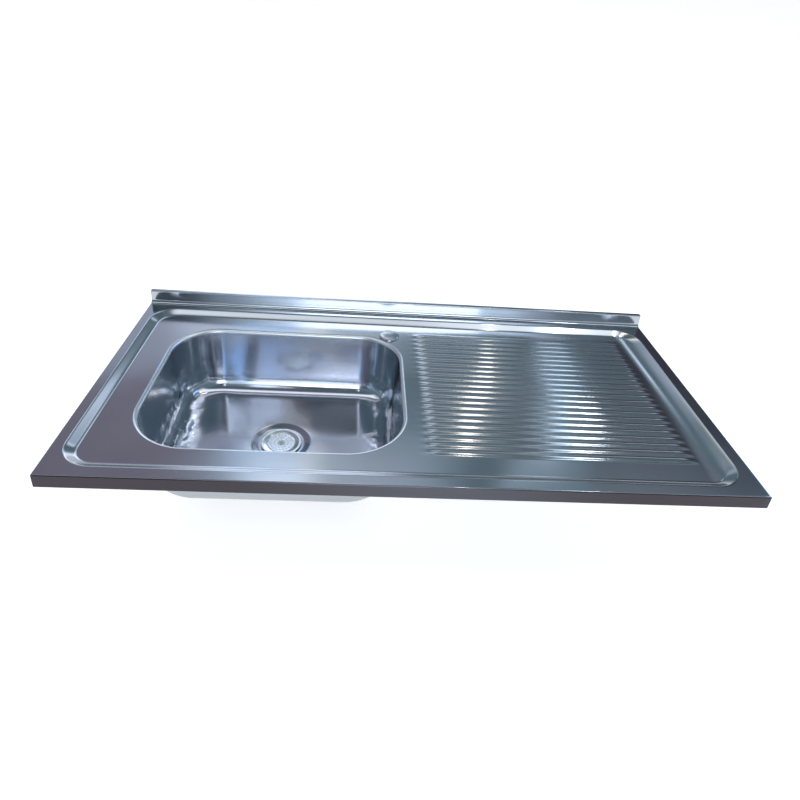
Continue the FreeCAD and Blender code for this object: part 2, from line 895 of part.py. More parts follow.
def make_stiffener(label, x):
    body = new_body(label)
    section = sketch_on(body, "XZ_Plane", -(d.stiffener_length / 2))
    crown = d.stiffener_crown / 2
    foot = stiffener_half
    sheet = d.stiffener_sheet
    low = floor_under - d.stiffener_height
    polygon(section, [
        (-foot, floor_under),
        (-foot, floor_under - sheet),
        (-crown, floor_under - sheet),
        (-crown, low),
        (crown, low),
        (crown, floor_under - sheet),
        (foot, floor_under - sheet),
        (foot, floor_under),
        (crown - sheet, floor_under),
        (crown - sheet, low + sheet),
        (sheet - crown, low + sheet),
        (sheet - crown, floor_under),
    ])
    pad(body, section, d.stiffener_length)
    move(body, x, rib_middle)
    return body


def make_drainer_pad():
    body = new_body("drainer_pad")
    outline = sketch_on(body, "XY_Plane", floor_under - d.pad_height)
    half_length = (right_stiffener - left_stiffener) / 2 - stiffener_half - d.drainer_pad_margin
    half_breadth = d.drainer_pad_breadth / 2
    rounded_rectangle(
        outline, -half_length, half_length, -half_breadth, half_breadth, d.pad_corner, d.pad_corner
    )
    pad(body, outline, d.pad_height)
    move(body, (left_stiffener + right_stiffener) / 2, rib_middle)
    return body


def make_bowl_pad():
    body = new_body("bowl_pad")
    outline = sketch_on(body, "XY_Plane", bowl_under - d.pad_height)
    half_length = d.bowl_pad_length / 2
    half_breadth = d.bowl_pad_breadth / 2
    rounded_rectangle(
        outline, -half_length, half_length, -half_breadth, half_breadth, d.pad_corner, d.pad_corner
    )
    pad(body, outline, d.pad_height)
    hole = sketch_on(body, "XY_Plane", bowl_under)
    circle(hole, ZERO, ZERO, d.pad_hole_radius)
    pocket(body, hole, d.pad_height + d.cut_overrun)
    move(body, bowl_x, bowl_y)
    return body


# Fixings: a stud on a welded plate near each corner of the recess, an angle bracket that swings about
# it against the cabinet's side panel, a washer and a nut.
left_stud = d.left_stud_from_side - half_width
right_stud = half_width - d.right_stud_from_side
front_stud = front + d.stud_from_front
rear_stud = rear - d.stud_from_rear
panel_face = half_width - d.panel_thickness - d.panel_clearance
STUDS = {
    "front_left": (left_stud, front_stud),
    "front_right": (right_stud, front_stud),
    "rear_left": (left_stud, rear_stud),
    "rear_right": (right_stud, rear_stud),
}
plate_foot = floor_under - d.plate_height
bracket_foot = plate_foot - d.bracket_sheet
washer_foot = bracket_foot - d.washer_height
nut_foot = washer_foot - d.nut_height


def make_bracket(place, x, y):
    body = new_body(f"bracket_{place}")
    side = 1 if x.value > 0 else -1
    reach = panel_face - side * x
    leg_foot = plate_foot - d.bracket_drop
    tail = side * -d.bracket_tail
    outside = side * reach
    inside = side * (reach - d.bracket_sheet)
    section = sketch_on(body, "XZ_Plane")
    polygon(section, [
        (tail, plate_foot),
        (tail, bracket_foot),
        (inside, bracket_foot),
        (inside, leg_foot),
        (outside, leg_foot),
        (outside, plate_foot),
    ])
    angle = pad(body, section, d.bracket_width, both_ways=True)

    def bend_at(across, up):
        def test(box):
            flat = near(box.XLength, 0) and near(box.ZLength, 0)
            return flat and near(box.XMin, across.value) and near(box.ZMin, up.value)
        return test

    def corner(box):
        through_leg = near(box.YLength, 0) and near(box.ZLength, 0) and near(box.ZMin, leg_foot.value)
        through_tail = near(box.YLength, 0) and near(box.XLength, 0) and near(box.XMin, tail.value)
        return through_leg or through_tail

    bent = round_edges(body, angle, d.bracket_bend, bend_at(inside, bracket_foot))
    bent = round_edges(body, bent, d.bracket_bend + d.bracket_sheet, bend_at(outside, plate_foot))
    bevel_edges(body, bent, d.bracket_corner, corner)
    pivot = sketch_on(body, "XY_Plane", bracket_foot)
    circle(pivot, ZERO, ZERO, d.stud_radius + d.swivel_clearance)
    pocket(body, pivot, d.bracket_sheet + d.cut_overrun, backwards=True)
    screw = sketch_on(body, "YZ_Plane")
    circle(screw, ZERO, plate_foot - d.screw_hole_drop, d.screw_hole_radius)
    pocket(body, screw, reach + d.cut_overrun, backwards=side > 0)
    move(body, x, y)
    return body


def make_stud(place, x, y):
    half = d.plate_side / 2
    plate = doc.addObject("Part::Box", f"plate_{place}")
    bind(plate, Length=d.plate_side, Width=d.plate_side, Height=d.plate_height)
    move(plate, x - half, y - half, plate_foot)
    stud = doc.addObject("Part::Cylinder", f"stud_{place}")
    bind(stud, Radius=d.stud_radius, Height=d.stud_length)
    move(stud, x, y, plate_foot + d.plate_height / 2 - d.stud_length)
    return fuse(f"welded_stud_{place}", plate, stud)


def bored(name, blank, x, y, foot, height):
    bore = doc.addObject("Part::Cylinder", f"{name}_bore")
    bind(bore, Radius=d.stud_radius + d.fit_clearance, Height=height)
    move(blank, x, y, foot)
    move(bore, x, y, foot)
    return cut(name, blank, bore)


def make_washer(place, x, y):
    disc = doc.addObject("Part::Cylinder", f"disc_{place}")
    bind(disc, Radius=d.washer_radius, Height=d.washer_height)
    return bored(f"washer_{place}", disc, x, y, washer_foot, d.washer_height)


def make_nut(place, x, y):
    hexagon = doc.addObject("Part::Prism", f"hexagon_{place}")
    hexagon.Polygon = 6
    bind(hexagon, Circumradius=d.nut_radius, Height=d.nut_height)
    return bored(f"nut_{place}", hexagon, x, y, nut_foot, d.nut_height)


def group(label, maker):
    compound = doc.addObject("Part::Compound", label)
    compound.Label = label
    compound.Links = [maker(place, x, y) for place, (x, y) in STUDS.items()]
    doc.recompute()
    return compound


def make_pieces():
    pieces = [
        make_worktop(),
        make_bowl(),
        make_waste_flange(),
        make_flange_seal(),
        make_under_seal(),
        make_waste_body(),
        make_clamp_screw(),
        make_strainer_plate(),
        make_strainer_post(),
        make_cap_disc(),
        make_cap_seal(),
        make_cap_plug(),
        make_stiffener("drainer_stiffener_left", left_stiffener),
        make_stiffener("drainer_stiffener_right", right_stiffener),
        make_drainer_pad(),
        make_bowl_pad(),
        group("fixing_studs", make_stud),
        group("fixing_washers", make_washer),
        group("fixing_nuts", make_nut),
    ]
    pieces += [make_bracket(place, x, y) for place, (x, y) in STUDS.items()]
    return pieces


def check(pieces):
    for item in doc.Objects:
        if "Invalid" in item.State or "Error" in item.State:
            raise RuntimeError(f"{item.Label} failed: {item.State}")
    for piece in pieces:
        if piece.Shape.isNull() or not piece.Shape.isValid():
            raise RuntimeError(f"{piece.Label} has no valid shape")


def write_steps(pieces):
    os.makedirs("parts", exist_ok=True)
    for piece in pieces:
        piece.Shape.exportStep(f"parts/{piece.Label}.step")
        solids = len(piece.Shape.Solids)
        print(f"{piece.Label}: {solids} solid(s), {piece.Shape.Volume:.0f} mm3")


sink_pieces = make_pieces()
doc.recompute()
check(sink_pieces)
write_steps(sink_pieces)
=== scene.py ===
import math

import bmesh
import bpy
from mathutils import Matrix, Vector


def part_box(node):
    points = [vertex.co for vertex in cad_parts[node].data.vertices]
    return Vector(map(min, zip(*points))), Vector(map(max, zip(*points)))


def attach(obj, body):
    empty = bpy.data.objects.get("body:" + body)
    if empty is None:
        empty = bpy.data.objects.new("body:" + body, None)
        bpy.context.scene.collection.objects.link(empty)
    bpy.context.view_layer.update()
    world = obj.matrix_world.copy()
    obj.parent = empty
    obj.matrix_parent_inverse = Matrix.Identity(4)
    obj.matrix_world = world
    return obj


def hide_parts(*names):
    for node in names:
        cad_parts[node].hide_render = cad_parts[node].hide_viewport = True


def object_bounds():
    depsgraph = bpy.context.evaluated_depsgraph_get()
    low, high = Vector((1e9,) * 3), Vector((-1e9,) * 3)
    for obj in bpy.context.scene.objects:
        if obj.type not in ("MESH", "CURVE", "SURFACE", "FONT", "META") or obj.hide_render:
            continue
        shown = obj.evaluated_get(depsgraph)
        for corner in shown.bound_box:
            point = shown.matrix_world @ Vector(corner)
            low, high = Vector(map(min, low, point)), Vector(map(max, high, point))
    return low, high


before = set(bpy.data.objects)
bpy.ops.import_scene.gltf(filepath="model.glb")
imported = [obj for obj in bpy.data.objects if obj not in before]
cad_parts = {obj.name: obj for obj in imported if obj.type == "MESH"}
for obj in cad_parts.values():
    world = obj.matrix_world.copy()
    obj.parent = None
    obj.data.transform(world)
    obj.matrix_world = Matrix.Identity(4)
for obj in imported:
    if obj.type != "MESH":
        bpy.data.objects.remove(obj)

# Kitchen sink of pressed stainless steel: one bowl on the left, a ribbed drainer on the right.
# Everything is in metres in the frame of the CAD model: X to the right, Y to the wall, Z up.
cad_box = [list(corner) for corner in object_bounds()]
scene = bpy.context.scene
scene.view_settings.view_transform = "Standard"
MM = 0.001


# Camera: hand-held in front of the sink, a little to the left of its middle, looking down at it
# and tilted to one side. The picture is a crop, so its middle lies below the lens axis.
CAMERA_PLACE = Vector((-0.1111, -0.7434, 0.7278))
CAMERA_TURN = math.radians(4.554)
CAMERA_DIP = math.radians(27.339)
CAMERA_ROLL = math.radians(5.018)
IMAGE_SIDE = 800
FOCAL_PIXELS = 610.8
AXIS_ROW = 308.4
SENSOR_WIDTH = 36

sight = Vector((
    math.sin(CAMERA_TURN) * math.cos(CAMERA_DIP),
    math.cos(CAMERA_TURN) * math.cos(CAMERA_DIP),
    -math.sin(CAMERA_DIP),
))
level_right = sight.cross(Vector((0, 0, 1))).normalized()
level_up = level_right.cross(sight)
camera_right = math.cos(CAMERA_ROLL) * level_right + math.sin(CAMERA_ROLL) * level_up
camera_up = math.cos(CAMERA_ROLL) * level_up - math.sin(CAMERA_ROLL) * level_right
camera = bpy.data.objects.new("camera", bpy.data.cameras.new("camera"))
scene.collection.objects.link(camera)
camera_axes = Matrix((camera_right, camera_up, -sight)).transposed().to_4x4()
camera.matrix_world = Matrix.Translation(CAMERA_PLACE) @ camera_axes
camera.data.sensor_width = SENSOR_WIDTH
camera.data.lens = SENSOR_WIDTH * FOCAL_PIXELS / IMAGE_SIDE
camera.data.shift_y = (AXIS_ROW - IMAGE_SIDE / 2) / IMAGE_SIDE
scene.camera = camera


# Worktop: one sheet of stainless steel, pressed in one stroke to a rim, a stepped recess, drainer
# ribs and the mouth of the bowl. Its front apron and the upstand along the wall are folded over.
GAUGE = 0.8 * MM
FOLD_RADIUS = 2.5 * MM
SIDE_FOLD_RADIUS = 1.5 * MM
LIP_FOLD_RADIUS = 1.5 * MM
LIP_WIDTH = 16 * MM
LIP_GAP = 1.5 * MM
UPSTAND_FOLD = 12 * MM
UPSTAND_HEIGHT = 30 * MM
COVE_RADIUS = 8 * MM
LEFT_LAND = 20 * MM
RIGHT_LAND = 24 * MM
FRONT_LAND = 24 * MM
REAR_LAND = 26 * MM
RECESS_DEPTH = 10 * MM
RECESS_CORNER = 57 * MM
STEP_RUN = 17 * MM
STEP_FOOT_BLEND = 2.6 * MM
STEP_RIM_BLEND = 1.8 * MM
SWEEP_RUN = 53 * MM
RIB_COUNT = 22
RIB_FIRST_ROW = 96 * MM
RIB_PITCH = 19.3 * MM
RIB_HALF_WIDTH = 7.5 * MM
RIB_HEIGHT = 2 * MM
RIB_START = 621 * MM
RIB_END = 1123 * MM
RIB_START_RAMP = 32 * MM
RIB_END_RAMP = 36 * MM
MOUTH_RADIUS = 5 * MM
MOUTH_REACH = 7.5 * MM
MOUTH_EASE = 1 * MM
NECK_DEPTH = 8 * MM
BOWL_FROM_LEFT = 344 * MM
BOWL_FROM_FRONT = 288 * MM
BOWL_LENGTH = 488 * MM
BOWL_BREADTH = 396 * MM
FRONT_CORNER = 108 * MM
REAR_CORNER = 92 * MM
TAP_HOLE_RADIUS = 17.5 * MM
SMOOTH_ANGLE = math.radians(38)
CORNER_STEPS = 18
LIP_FOLD_STEPS = 4
FOLD_STEPS = 6
COVE_STEPS = 8
MOUTH_STEPS = 12
PUNCH_REACH = 5 * MM
MERGE_DISTANCE = 0.01 * MM
SAME_PLACE = 0.0001 * MM

side_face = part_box("worktop")[1].x
front_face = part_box("worktop")[0].y
rear_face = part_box("worktop")[1].y
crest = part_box("worktop")[1].z
rim = crest - UPSTAND_HEIGHT
floor = rim - RECESS_DEPTH
wall_face = rear_face - UPSTAND_FOLD
core_left = LEFT_LAND + RECESS_CORNER - side_face
core_right = side_face - RIGHT_LAND - RECESS_CORNER
core_front = front_face + FRONT_LAND + RECESS_CORNER
core_rear = wall_face - REAR_LAND - RECESS_CORNER
rib_start = RIB_START - side_face
rib_end = RIB_END - side_face
rib_rows = [front_face + RIB_FIRST_ROW + number * RIB_PITCH for number in range(RIB_COUNT)]
bowl_x = BOWL_FROM_LEFT - side_face
bowl_y = front_face + BOWL_FROM_FRONT
disc_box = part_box("cap_disc")
tap_x = (disc_box[0].x + disc_box[1].x) / 2
tap_y = (disc_box[0].y + disc_box[1].y) / 2


class Skin:
    """The points and faces of one side of a sheet, gathered strip by strip."""

    def __init__(self):
        self.points = []
        self.faces = []

    def row(self, points):
        first = len(self.points)
        self.points.extend(tuple(point) for point in points)
        return list(range(first, first + len(points)))

    def join(self, row, next_row, closed=False):
        count = len(row)
        for index in range(count if closed else count - 1):
            after = (index + 1) % count
            self.faces.append((row[index], row[after], next_row[after], next_row[index]))

    def rows(self, all_points, closed=False):
        rows = [self.row(points) for points in all_points]
        for row, next_row in zip(rows, rows[1:]):
            self.join(row, next_row, closed)
        return rows

    def piece(self, name, probe):
        """A mesh object whose faces look the way that probe, a point and a direction, says."""
        mesh = bpy.data.meshes.new(name)
        mesh.from_pydata(self.points, [], self.faces)
        work = bmesh.new()
        work.from_mesh(mesh)
        bmesh.ops.remove_doubles(work, verts=work.verts, dist=MERGE_DISTANCE)
        bmesh.ops.dissolve_degenerate(work, edges=work.edges, dist=MERGE_DISTANCE / 2)
        bmesh.ops.recalc_face_normals(work, faces=work.faces)
        place, direction = Vector(probe[0]), Vector(probe[1])
        nearest = min(work.faces, key=lambda face: (face.calc_center_median() - place).length)
        if nearest.normal.dot(direction) < 0:
            bmesh.ops.reverse_faces(work, faces=work.faces)
        work.to_mesh(mesh)
        work.free()
        piece = bpy.data.objects.new(name, mesh)
        scene.collection.objects.link(piece)
        return piece


def eased(share):
    share = min(max(share, 0.0), 1.0)
    return share * share * (3 - 2 * share)


def blended_kink(position, kink, half_width):
    """A ramp of slope one that starts at the kink, with the kink rounded over twice half_width."""
    along = position - kink
    if along <= -half_width:
        return 0.0
    if along >= half_width:
        return along
    return (along + half_width) ** 2 / (4 * half_width)


def step_rise(reach):
    """Height above the recess floor at this distance outside the core, on three of its sides."""
    slope = RECESS_DEPTH / STEP_RUN
    above_foot = blended_kink(reach, RECESS_CORNER - STEP_RUN, STEP_FOOT_BLEND)
    above_rim = blended_kink(reach, RECESS_CORNER, STEP_RIM_BLEND)
    return slope * (above_foot - above_rim)


def sweep_rise(reach):
    """The same on the right side, which rises in one long concave sweep."""
    start = RECESS_CORNER - SWEEP_RUN
    along = min(max(reach - start, 0.0), SWEEP_RUN)
    return RECESS_DEPTH * (along / SWEEP_RUN) ** 2


def rib_rise(x, y):
    nearest = min(rib_rows, key=lambda row: abs(row - y))
    across = (y - nearest) / RIB_HALF_WIDTH
    if abs(across) >= 1 or not rib_start < x < rib_end:
        return 0.0
    ends = eased((x - rib_start) / RIB_START_RAMP) * eased((rib_end - x) / RIB_END_RAMP)
    return RIB_HEIGHT * (1 - across * across) ** 1.5 * ends


def top_point(x, y):
    """The point of the pressed sheet's upper skin over this place."""
    outside_x = max(core_left - x, 0.0, x - core_right)
    outside_y = max(core_front - y, 0.0, y - core_rear)
    reach = math.hypot(outside_x, outside_y)
    rise = step_rise(reach)
    if x > core_right:
        share = eased(1 - math.atan2(outside_y, outside_x) / (math.pi / 2))
        rise = share * sweep_rise(reach) + (1 - share) * rise
    return x, y, floor + rise + rib_rise(x, y)


def spread(start, end, count):
    return [start + (end - start) * index / count for index in range(count + 1)]


# Lines of the mesh across the sink: the stretch beside the bowl, then the rib ends and the ribs.
PATCH_LINES = 60
RIB_LINES = 34
RAMP_LINES = 5
GAP_BEFORE_RIBS = 15 * MM
FIRST_LINE_GAP = 4 * MM
SHORTEST_GAP = 0.5 * MM
patch_right = rib_start - GAP_BEFORE_RIBS
ramp_end = rib_end - RIB_END_RAMP
x_lines = spread(core_left, patch_right, PATCH_LINES)
x_lines += spread(rib_start, rib_start + RIB_START_RAMP, RAMP_LINES)
x_lines += spread(rib_start + RIB_START_RAMP, ramp_end, RIB_LINES)[1:]
x_lines += spread(ramp_end, core_right, RAMP_LINES)[1:]
# Lines from front to rear: each rib has a line on its crest and four on either flank.
RIB_FLANK_SHARES = (0.29, 0.56, 0.79, 1.0)
rib_shares = [-share for share in RIB_FLANK_SHARES[::-1]] + [0.0] + list(RIB_FLANK_SHARES)
y_lines = [row + share * RIB_HALF_WIDTH for row in rib_rows for share in rib_shares]
y_lines = [y for y in y_lines if y < core_rear - SHORTEST_GAP]
y_lines = [core_front, core_front + FIRST_LINE_GAP] + y_lines + [core_rear]


def round_core(reach, square=None):
    """A closed row of points round the core, anticlockwise from its front left corner.
    With square, the four corners run out to that rectangle: left, right, front and rear."""
    corners = [
        (core_right, core_front, -90),
        (core_right, core_rear, 0),
        (core_left, core_rear, 90),
        (core_left, core_front, 180),
    ]
    left, right, low, high = square or (
        core_left - reach, core_right + reach, core_front - reach, core_rear + reach
    )
    sides = [
        [(x, low) for x in x_lines],
        [(right, y) for y in y_lines],
        [(x, high) for x in x_lines[::-1]],
        [(left, y) for y in y_lines[::-1]],
    ]
    points = []
    for side, (x, y, first) in zip(sides, corners):
        points += side
        for step in range(1, CORNER_STEPS):
            angle = math.radians(first + 90 * step / CORNER_STEPS)
            across, along = math.cos(angle), math.sin(angle)
            if square:
                longer = max(abs(across), abs(along))
                across, along = across / longer, along / longer
                reach_x = right - x if across > 0 else x - left
                reach_y = high - y if along > 0 else y - low
                points.append((x + across * reach_x, y + along * reach_y))
            else:
                points.append((x + across * reach, y + along * reach))
    return points


def mouth_side(number, shares, offset):
    """Points along one side of the bowl's mouth, from the middle of one corner to the middle of the
    next, moved outwards by the offset. Side 0 is the front one."""
    half_length = BOWL_LENGTH / 2
    half_breadth = BOWL_BREADTH / 2
    corners = [
        (-half_length + FRONT_CORNER, -half_breadth + FRONT_CORNER, FRONT_CORNER),
        (half_length - FRONT_CORNER, -half_breadth + FRONT_CORNER, FRONT_CORNER),
        (half_length - REAR_CORNER, half_breadth - REAR_CORNER, REAR_CORNER),
        (-half_length + REAR_CORNER, half_breadth - REAR_CORNER, REAR_CORNER),
    ]
    first, second = corners[number], corners[(number + 1) % 4]
    middle_angle = math.radians(90 * number - 90)
    facing = Vector((math.cos(middle_angle), math.sin(middle_angle)))
    start = Vector(first[:2]) + first[2] * facing
    end = Vector(second[:2]) + second[2] * facing
    first_arc = first[2] * math.pi / 4
    second_arc = second[2] * math.pi / 4
    straight = (end - start).length
    total = first_arc + straight + second_arc
    found = []
    for share in shares:
        along = share * total
        if along < first_arc:
            angle = middle_angle - (first_arc - along) / first[2]
            out = Vector((math.cos(angle), math.sin(angle)))
            place = Vector(first[:2]) + (first[2] + offset) * out
        elif along < first_arc + straight:
            out = facing
            place = start + (end - start) * (along - first_arc) / straight + offset * out
        else:
            angle = middle_angle + (along - first_arc - straight) / second[2]
            out = Vector((math.cos(angle), math.sin(angle)))
            place = Vector(second[:2]) + (second[2] + offset) * out
        found.append((bowl_x + place.x, bowl_y + place.y))
    return found


def between(near_row, far_row, share):
    """The row of points that is this share of the way from one row to the other."""
    return [Vector(near).lerp(Vector(far), share) for near, far in zip(near_row, far_row)]


def worktop_skin():
    skin = Skin()
    # ribbed part of the core
    rib_columns = [x for x in x_lines if x > patch_right - SAME_PLACE]
    skin.rows([[top_point(x, y) for x in rib_columns] for y in y_lines])
    # recess outside the core, up the step and over its rim
    reaches = [reach * MM for reach in (0, 1.2, 2.4, 4, 8, 13, 18, 24, 30, 35)]
    step_foot = RECESS_CORNER - STEP_RUN
    reaches += spread(step_foot - STEP_FOOT_BLEND, step_foot + STEP_FOOT_BLEND, 4)
    reaches += [reach * MM for reach in (46, 50, 53.5)]
    reaches += spread(RECESS_CORNER - STEP_RIM_BLEND, RECESS_CORNER + STEP_RIM_BLEND, 4)
    rows = skin.rows([[top_point(x, y) for x, y in round_core(reach)] for reach in reaches], True)
    # land round the recess
    square = (
        SIDE_FOLD_RADIUS - side_face,
        side_face - SIDE_FOLD_RADIUS,
        front_face + FOLD_RADIUS,
        wall_face - COVE_RADIUS,
    )
    border = [(x, y, rim) for x, y in round_core(0, square)]
    inner = [skin.points[index] for index in rows[-1]]
    for share in (0.06, 0.3, 0.7, 0.94, 1.0):
        row = skin.row(between(inner, border, share))
        skin.join(rows[-1], row, True)
        rows.append(row)
    # flat round the mouth of the bowl
    left_part = [x for x in x_lines if x < patch_right + SAME_PLACE]
    patch_sides = [
        [(x, core_front) for x in left_part],
        [(patch_right, y) for y in y_lines],
        [(x, core_rear) for x in left_part[::-1]],
        [(core_left, y) for y in y_lines[::-1]],
    ]
    edge, shares = [], []
    for side in patch_sides:
        length = math.dist(side[0], side[-1])
        edge += side[:-1]
        shares.append([math.dist(side[0], point) / length for point in side[:-1]])

    def mouth_row(offset, height):
        sides = [mouth_side(number, shares[number], offset) for number in range(4)]
        return [(x, y, height) for side in sides for x, y in side]

    outer = [(x, y, floor) for x, y in edge]
    lip_edge = mouth_row(MOUTH_REACH + 0.4 * MM, floor)
    loops = [between(outer, lip_edge, share) for share in spread(0, 1, 4)]
    for turn in spread(0, math.pi / 2, MOUTH_STEPS):
        fall = MOUTH_RADIUS * (1 - math.cos(turn)) + MOUTH_EASE * math.sin(turn) ** 2
        loops.append(mouth_row(MOUTH_REACH * (1 - math.sin(turn)), floor - fall))
    loops.append(mouth_row(0, floor - NECK_DEPTH))
    skin.rows(loops, True)
    add_folds(skin, square)
    return skin


def arc_points(centre, radius, first, last, steps):
    """Points of an arc in the Y-Z plane and the directions that face away from its centre."""
    found = []
    for angle in spread(math.radians(first), math.radians(last), steps):
        out = Vector((math.cos(angle), math.sin(angle)))
        found.append((Vector(centre) + radius * out, out))
    return found


def add_folds(skin, square):
    """The folded front apron, rear upstand, side plates and the lips returned under all four sides."""
    x_right, y_front, y_cove = square[1:]
    front_row = [x for x, y in round_core(0, square) if abs(y - y_front) < SAME_PLACE]
    side_row = [y for x, y in round_core(0, square) if abs(x - x_right) < SAME_PLACE]
    columns = sorted(set(round(x, 7) for x in front_row))
    land_rows = sorted(set(round(y, 7) for y in side_row))
    down, forward, back, up = Vector((0, -1)), Vector((-1, 0)), Vector((1, 0)), Vector((0, 1))
    fold = LIP_FOLD_RADIUS
    front_part = [(Vector((front_face + LIP_WIDTH, 0)), down)]
    front_part += arc_points((front_face + fold, fold), fold, 270, 180, LIP_FOLD_STEPS)
    front_part += [(Vector((front_face, rim * share)), forward) for share in (0.12, 0.5, 0.82)]
    front_part += arc_points((y_front, rim - FOLD_RADIUS), FOLD_RADIUS, 180, 90, FOLD_STEPS)
    land = [(Vector((y, rim)), up) for y in land_rows[1:-1]]
    rear_part = []
    for turn in spread(0, math.pi / 2, COVE_STEPS):
        out = Vector((-math.sin(turn), math.cos(turn)))
        rear_part.append((Vector((y_cove, rim + COVE_RADIUS)) - COVE_RADIUS * out, out))
    rear_part += [
        (Vector((wall_face, rim + (crest - rim) * share)), forward) for share in (0.4, 0.7, 0.88)
    ]
    crest_middle = crest - FOLD_RADIUS
    rear_part += arc_points((wall_face + FOLD_RADIUS, crest_middle), FOLD_RADIUS, 180, 90, FOLD_STEPS)
    rear_part += [(Vector((wall_face + UPSTAND_FOLD / 2, crest)), up)]
    rear_part += arc_points((rear_face - FOLD_RADIUS, crest_middle), FOLD_RADIUS, 90, 0, FOLD_STEPS)
    rear_part += [(Vector((rear_face, crest * share)), back) for share in (0.85, 0.5, 0.12)]
    rear_part += arc_points((rear_face - fold, fold), fold, 0, -90, LIP_FOLD_STEPS)
    rear_part += [(Vector((rear_face - LIP_WIDTH, 0)), down)]
    for part in (front_part, rear_part):
        skin.rows([[(x, place.x, place.y) for x in columns] for place, facing in part])
    profile = front_part + land + rear_part
    for side in (-1, 1):
        rows = []
        for turn in spread(0, math.pi / 2, LIP_FOLD_STEPS):
            sunk = SIDE_FOLD_RADIUS * (1 - math.cos(turn))
            x = side * (side_face - SIDE_FOLD_RADIUS + SIDE_FOLD_RADIUS * math.sin(turn))
            sunk_profile = [place - sunk * out for place, out in profile]
            rows.append([(x, place.x, place.y) for place in sunk_profile])
        made = skin.rows(rows)
        # side plate, with the fold and lip under it
        lip_ends = (rear_face - LIP_WIDTH - LIP_GAP, front_face + LIP_WIDTH + LIP_GAP)
        hem = skin.row([(side * side_face, y, SIDE_FOLD_RADIUS) for y in lip_ends])
        skin.faces.append(tuple(made[-1] + hem))
        lip_rows = []
        for turn in spread(0, math.pi / 2, LIP_FOLD_STEPS):
            x = side * (side_face - SIDE_FOLD_RADIUS * (1 - math.cos(turn)))
            z = SIDE_FOLD_RADIUS * (1 - math.sin(turn))
            lip_rows.append([(x, y, z) for y in lip_ends])
        lip_rows.append([(side * (side_face - LIP_WIDTH), y, 0) for y in lip_ends])
        skin.rows(lip_rows)


def add_modifier(piece, kind, **settings):
    modifier = piece.modifiers.new(kind.lower(), kind)
    for name, value in settings.items():
        setattr(modifier, name, value)
    return modifier


def settle(piece):
    """Turns a piece with modifiers into its plain finished mesh."""
    evaluated = piece.evaluated_get(bpy.context.evaluated_depsgraph_get())
    mesh = bpy.data.meshes.new_from_object(evaluated)
    mesh.name = piece.name
    piece.modifiers.clear()
    piece.data = mesh
    return piece


def punch(name, places, radius, low, high, sides=64):
    """A hidden tool of upright cylinders that cuts round holes."""
    work = bmesh.new()
    for x, y in places:
        lift = Matrix.Translation((x, y, (low + high) / 2))
        bmesh.ops.create_cone(
            work, cap_ends=True, segments=sides, radius1=radius, radius2=radius,
            depth=high - low, matrix=lift,
        )
    mesh = bpy.data.meshes.new(name)
    work.to_mesh(mesh)
    work.free()
    tool = bpy.data.objects.new(name, mesh)
    scene.collection.objects.link(tool)
    return tool


def cut_with(piece, tool):
    add_modifier(piece, "BOOLEAN", operation="DIFFERENCE", solver="EXACT", object=tool)
    settle(piece)
    bpy.data.objects.remove(tool)


def dress(piece, material, node, body):
    """Shades a piece, gives it its material and puts it in its CAD node's place."""
    piece.data.shade_smooth()
    piece.data.set_sharp_from_angle(angle=SMOOTH_ANGLE)
    piece.data.materials.clear()
    piece.data.materials.append(material)
    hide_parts(node)
    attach(piece, body)


drainer_point = (core_right - 100 * MM, core_front, floor)
worktop = worktop_skin().piece("pressed_worktop", (drainer_point, (0, 0, 1)))
add_modifier(worktop, "SOLIDIFY", thickness=GAUGE, offset=-1, use_even_offset=True)
settle(worktop)
cut_with(worktop, punch(
    "tap_punch", [(tap_x, tap_y)], TAP_HOLE_RADIUS, floor - PUNCH_REACH, floor + PUNCH_REACH,
))


def linear(hex_colour):
    """An sRGB hex colour as the linear colour that a shader takes."""
    parts = [int(hex_colour[start:start + 2], 16) / 255 for start in (1, 3, 5)]
    return tuple(
        part / 12.92 if part <= 0.04045 else ((part + 0.055) / 1.055) ** 2.4 for part in parts
    ) + (1.0,)


def add_node(tree, kind, inputs=None, **settings):
    """Adds a node. An input is a value, a socket to link from, or a node whose first output
    in use it takes."""
    node = tree.nodes.new(kind)
    for name, value in settings.items():
        setattr(node, name, value)
    for name, value in (inputs or {}).items():
        if isinstance(value, bpy.types.Node):
            value = next(socket for socket in value.outputs if socket.enabled)
        if isinstance(value, bpy.types.NodeSocket):
            tree.links.new(value, node.inputs[name])
        else:
            node.inputs[name].default_value = value
    return node


def new_material(name):
    material = bpy.data.materials.new(name)
    material.use_nodes = True
    tree = material.node_tree
    tree.nodes.clear()
    return material, tree


# Cold-rolled stainless sheet with a satin finish: fine grinding lines run along the sink and
# stretch each highlight from front to rear. The front apron is tinted dark brown as painted shade,
# lighter in the middle. The lip round the bowl is tinted pale as a painted highlight, and it is
# rougher, which gives it a broad sheen.
SHEET_TINT = "#B2B4BC"
SHEET_CLOUD_TINT = "#BCC3C6"
SHEET_ROUGHNESS = (0.1, 0.18)
SMUDGES_PER_METRE = 7
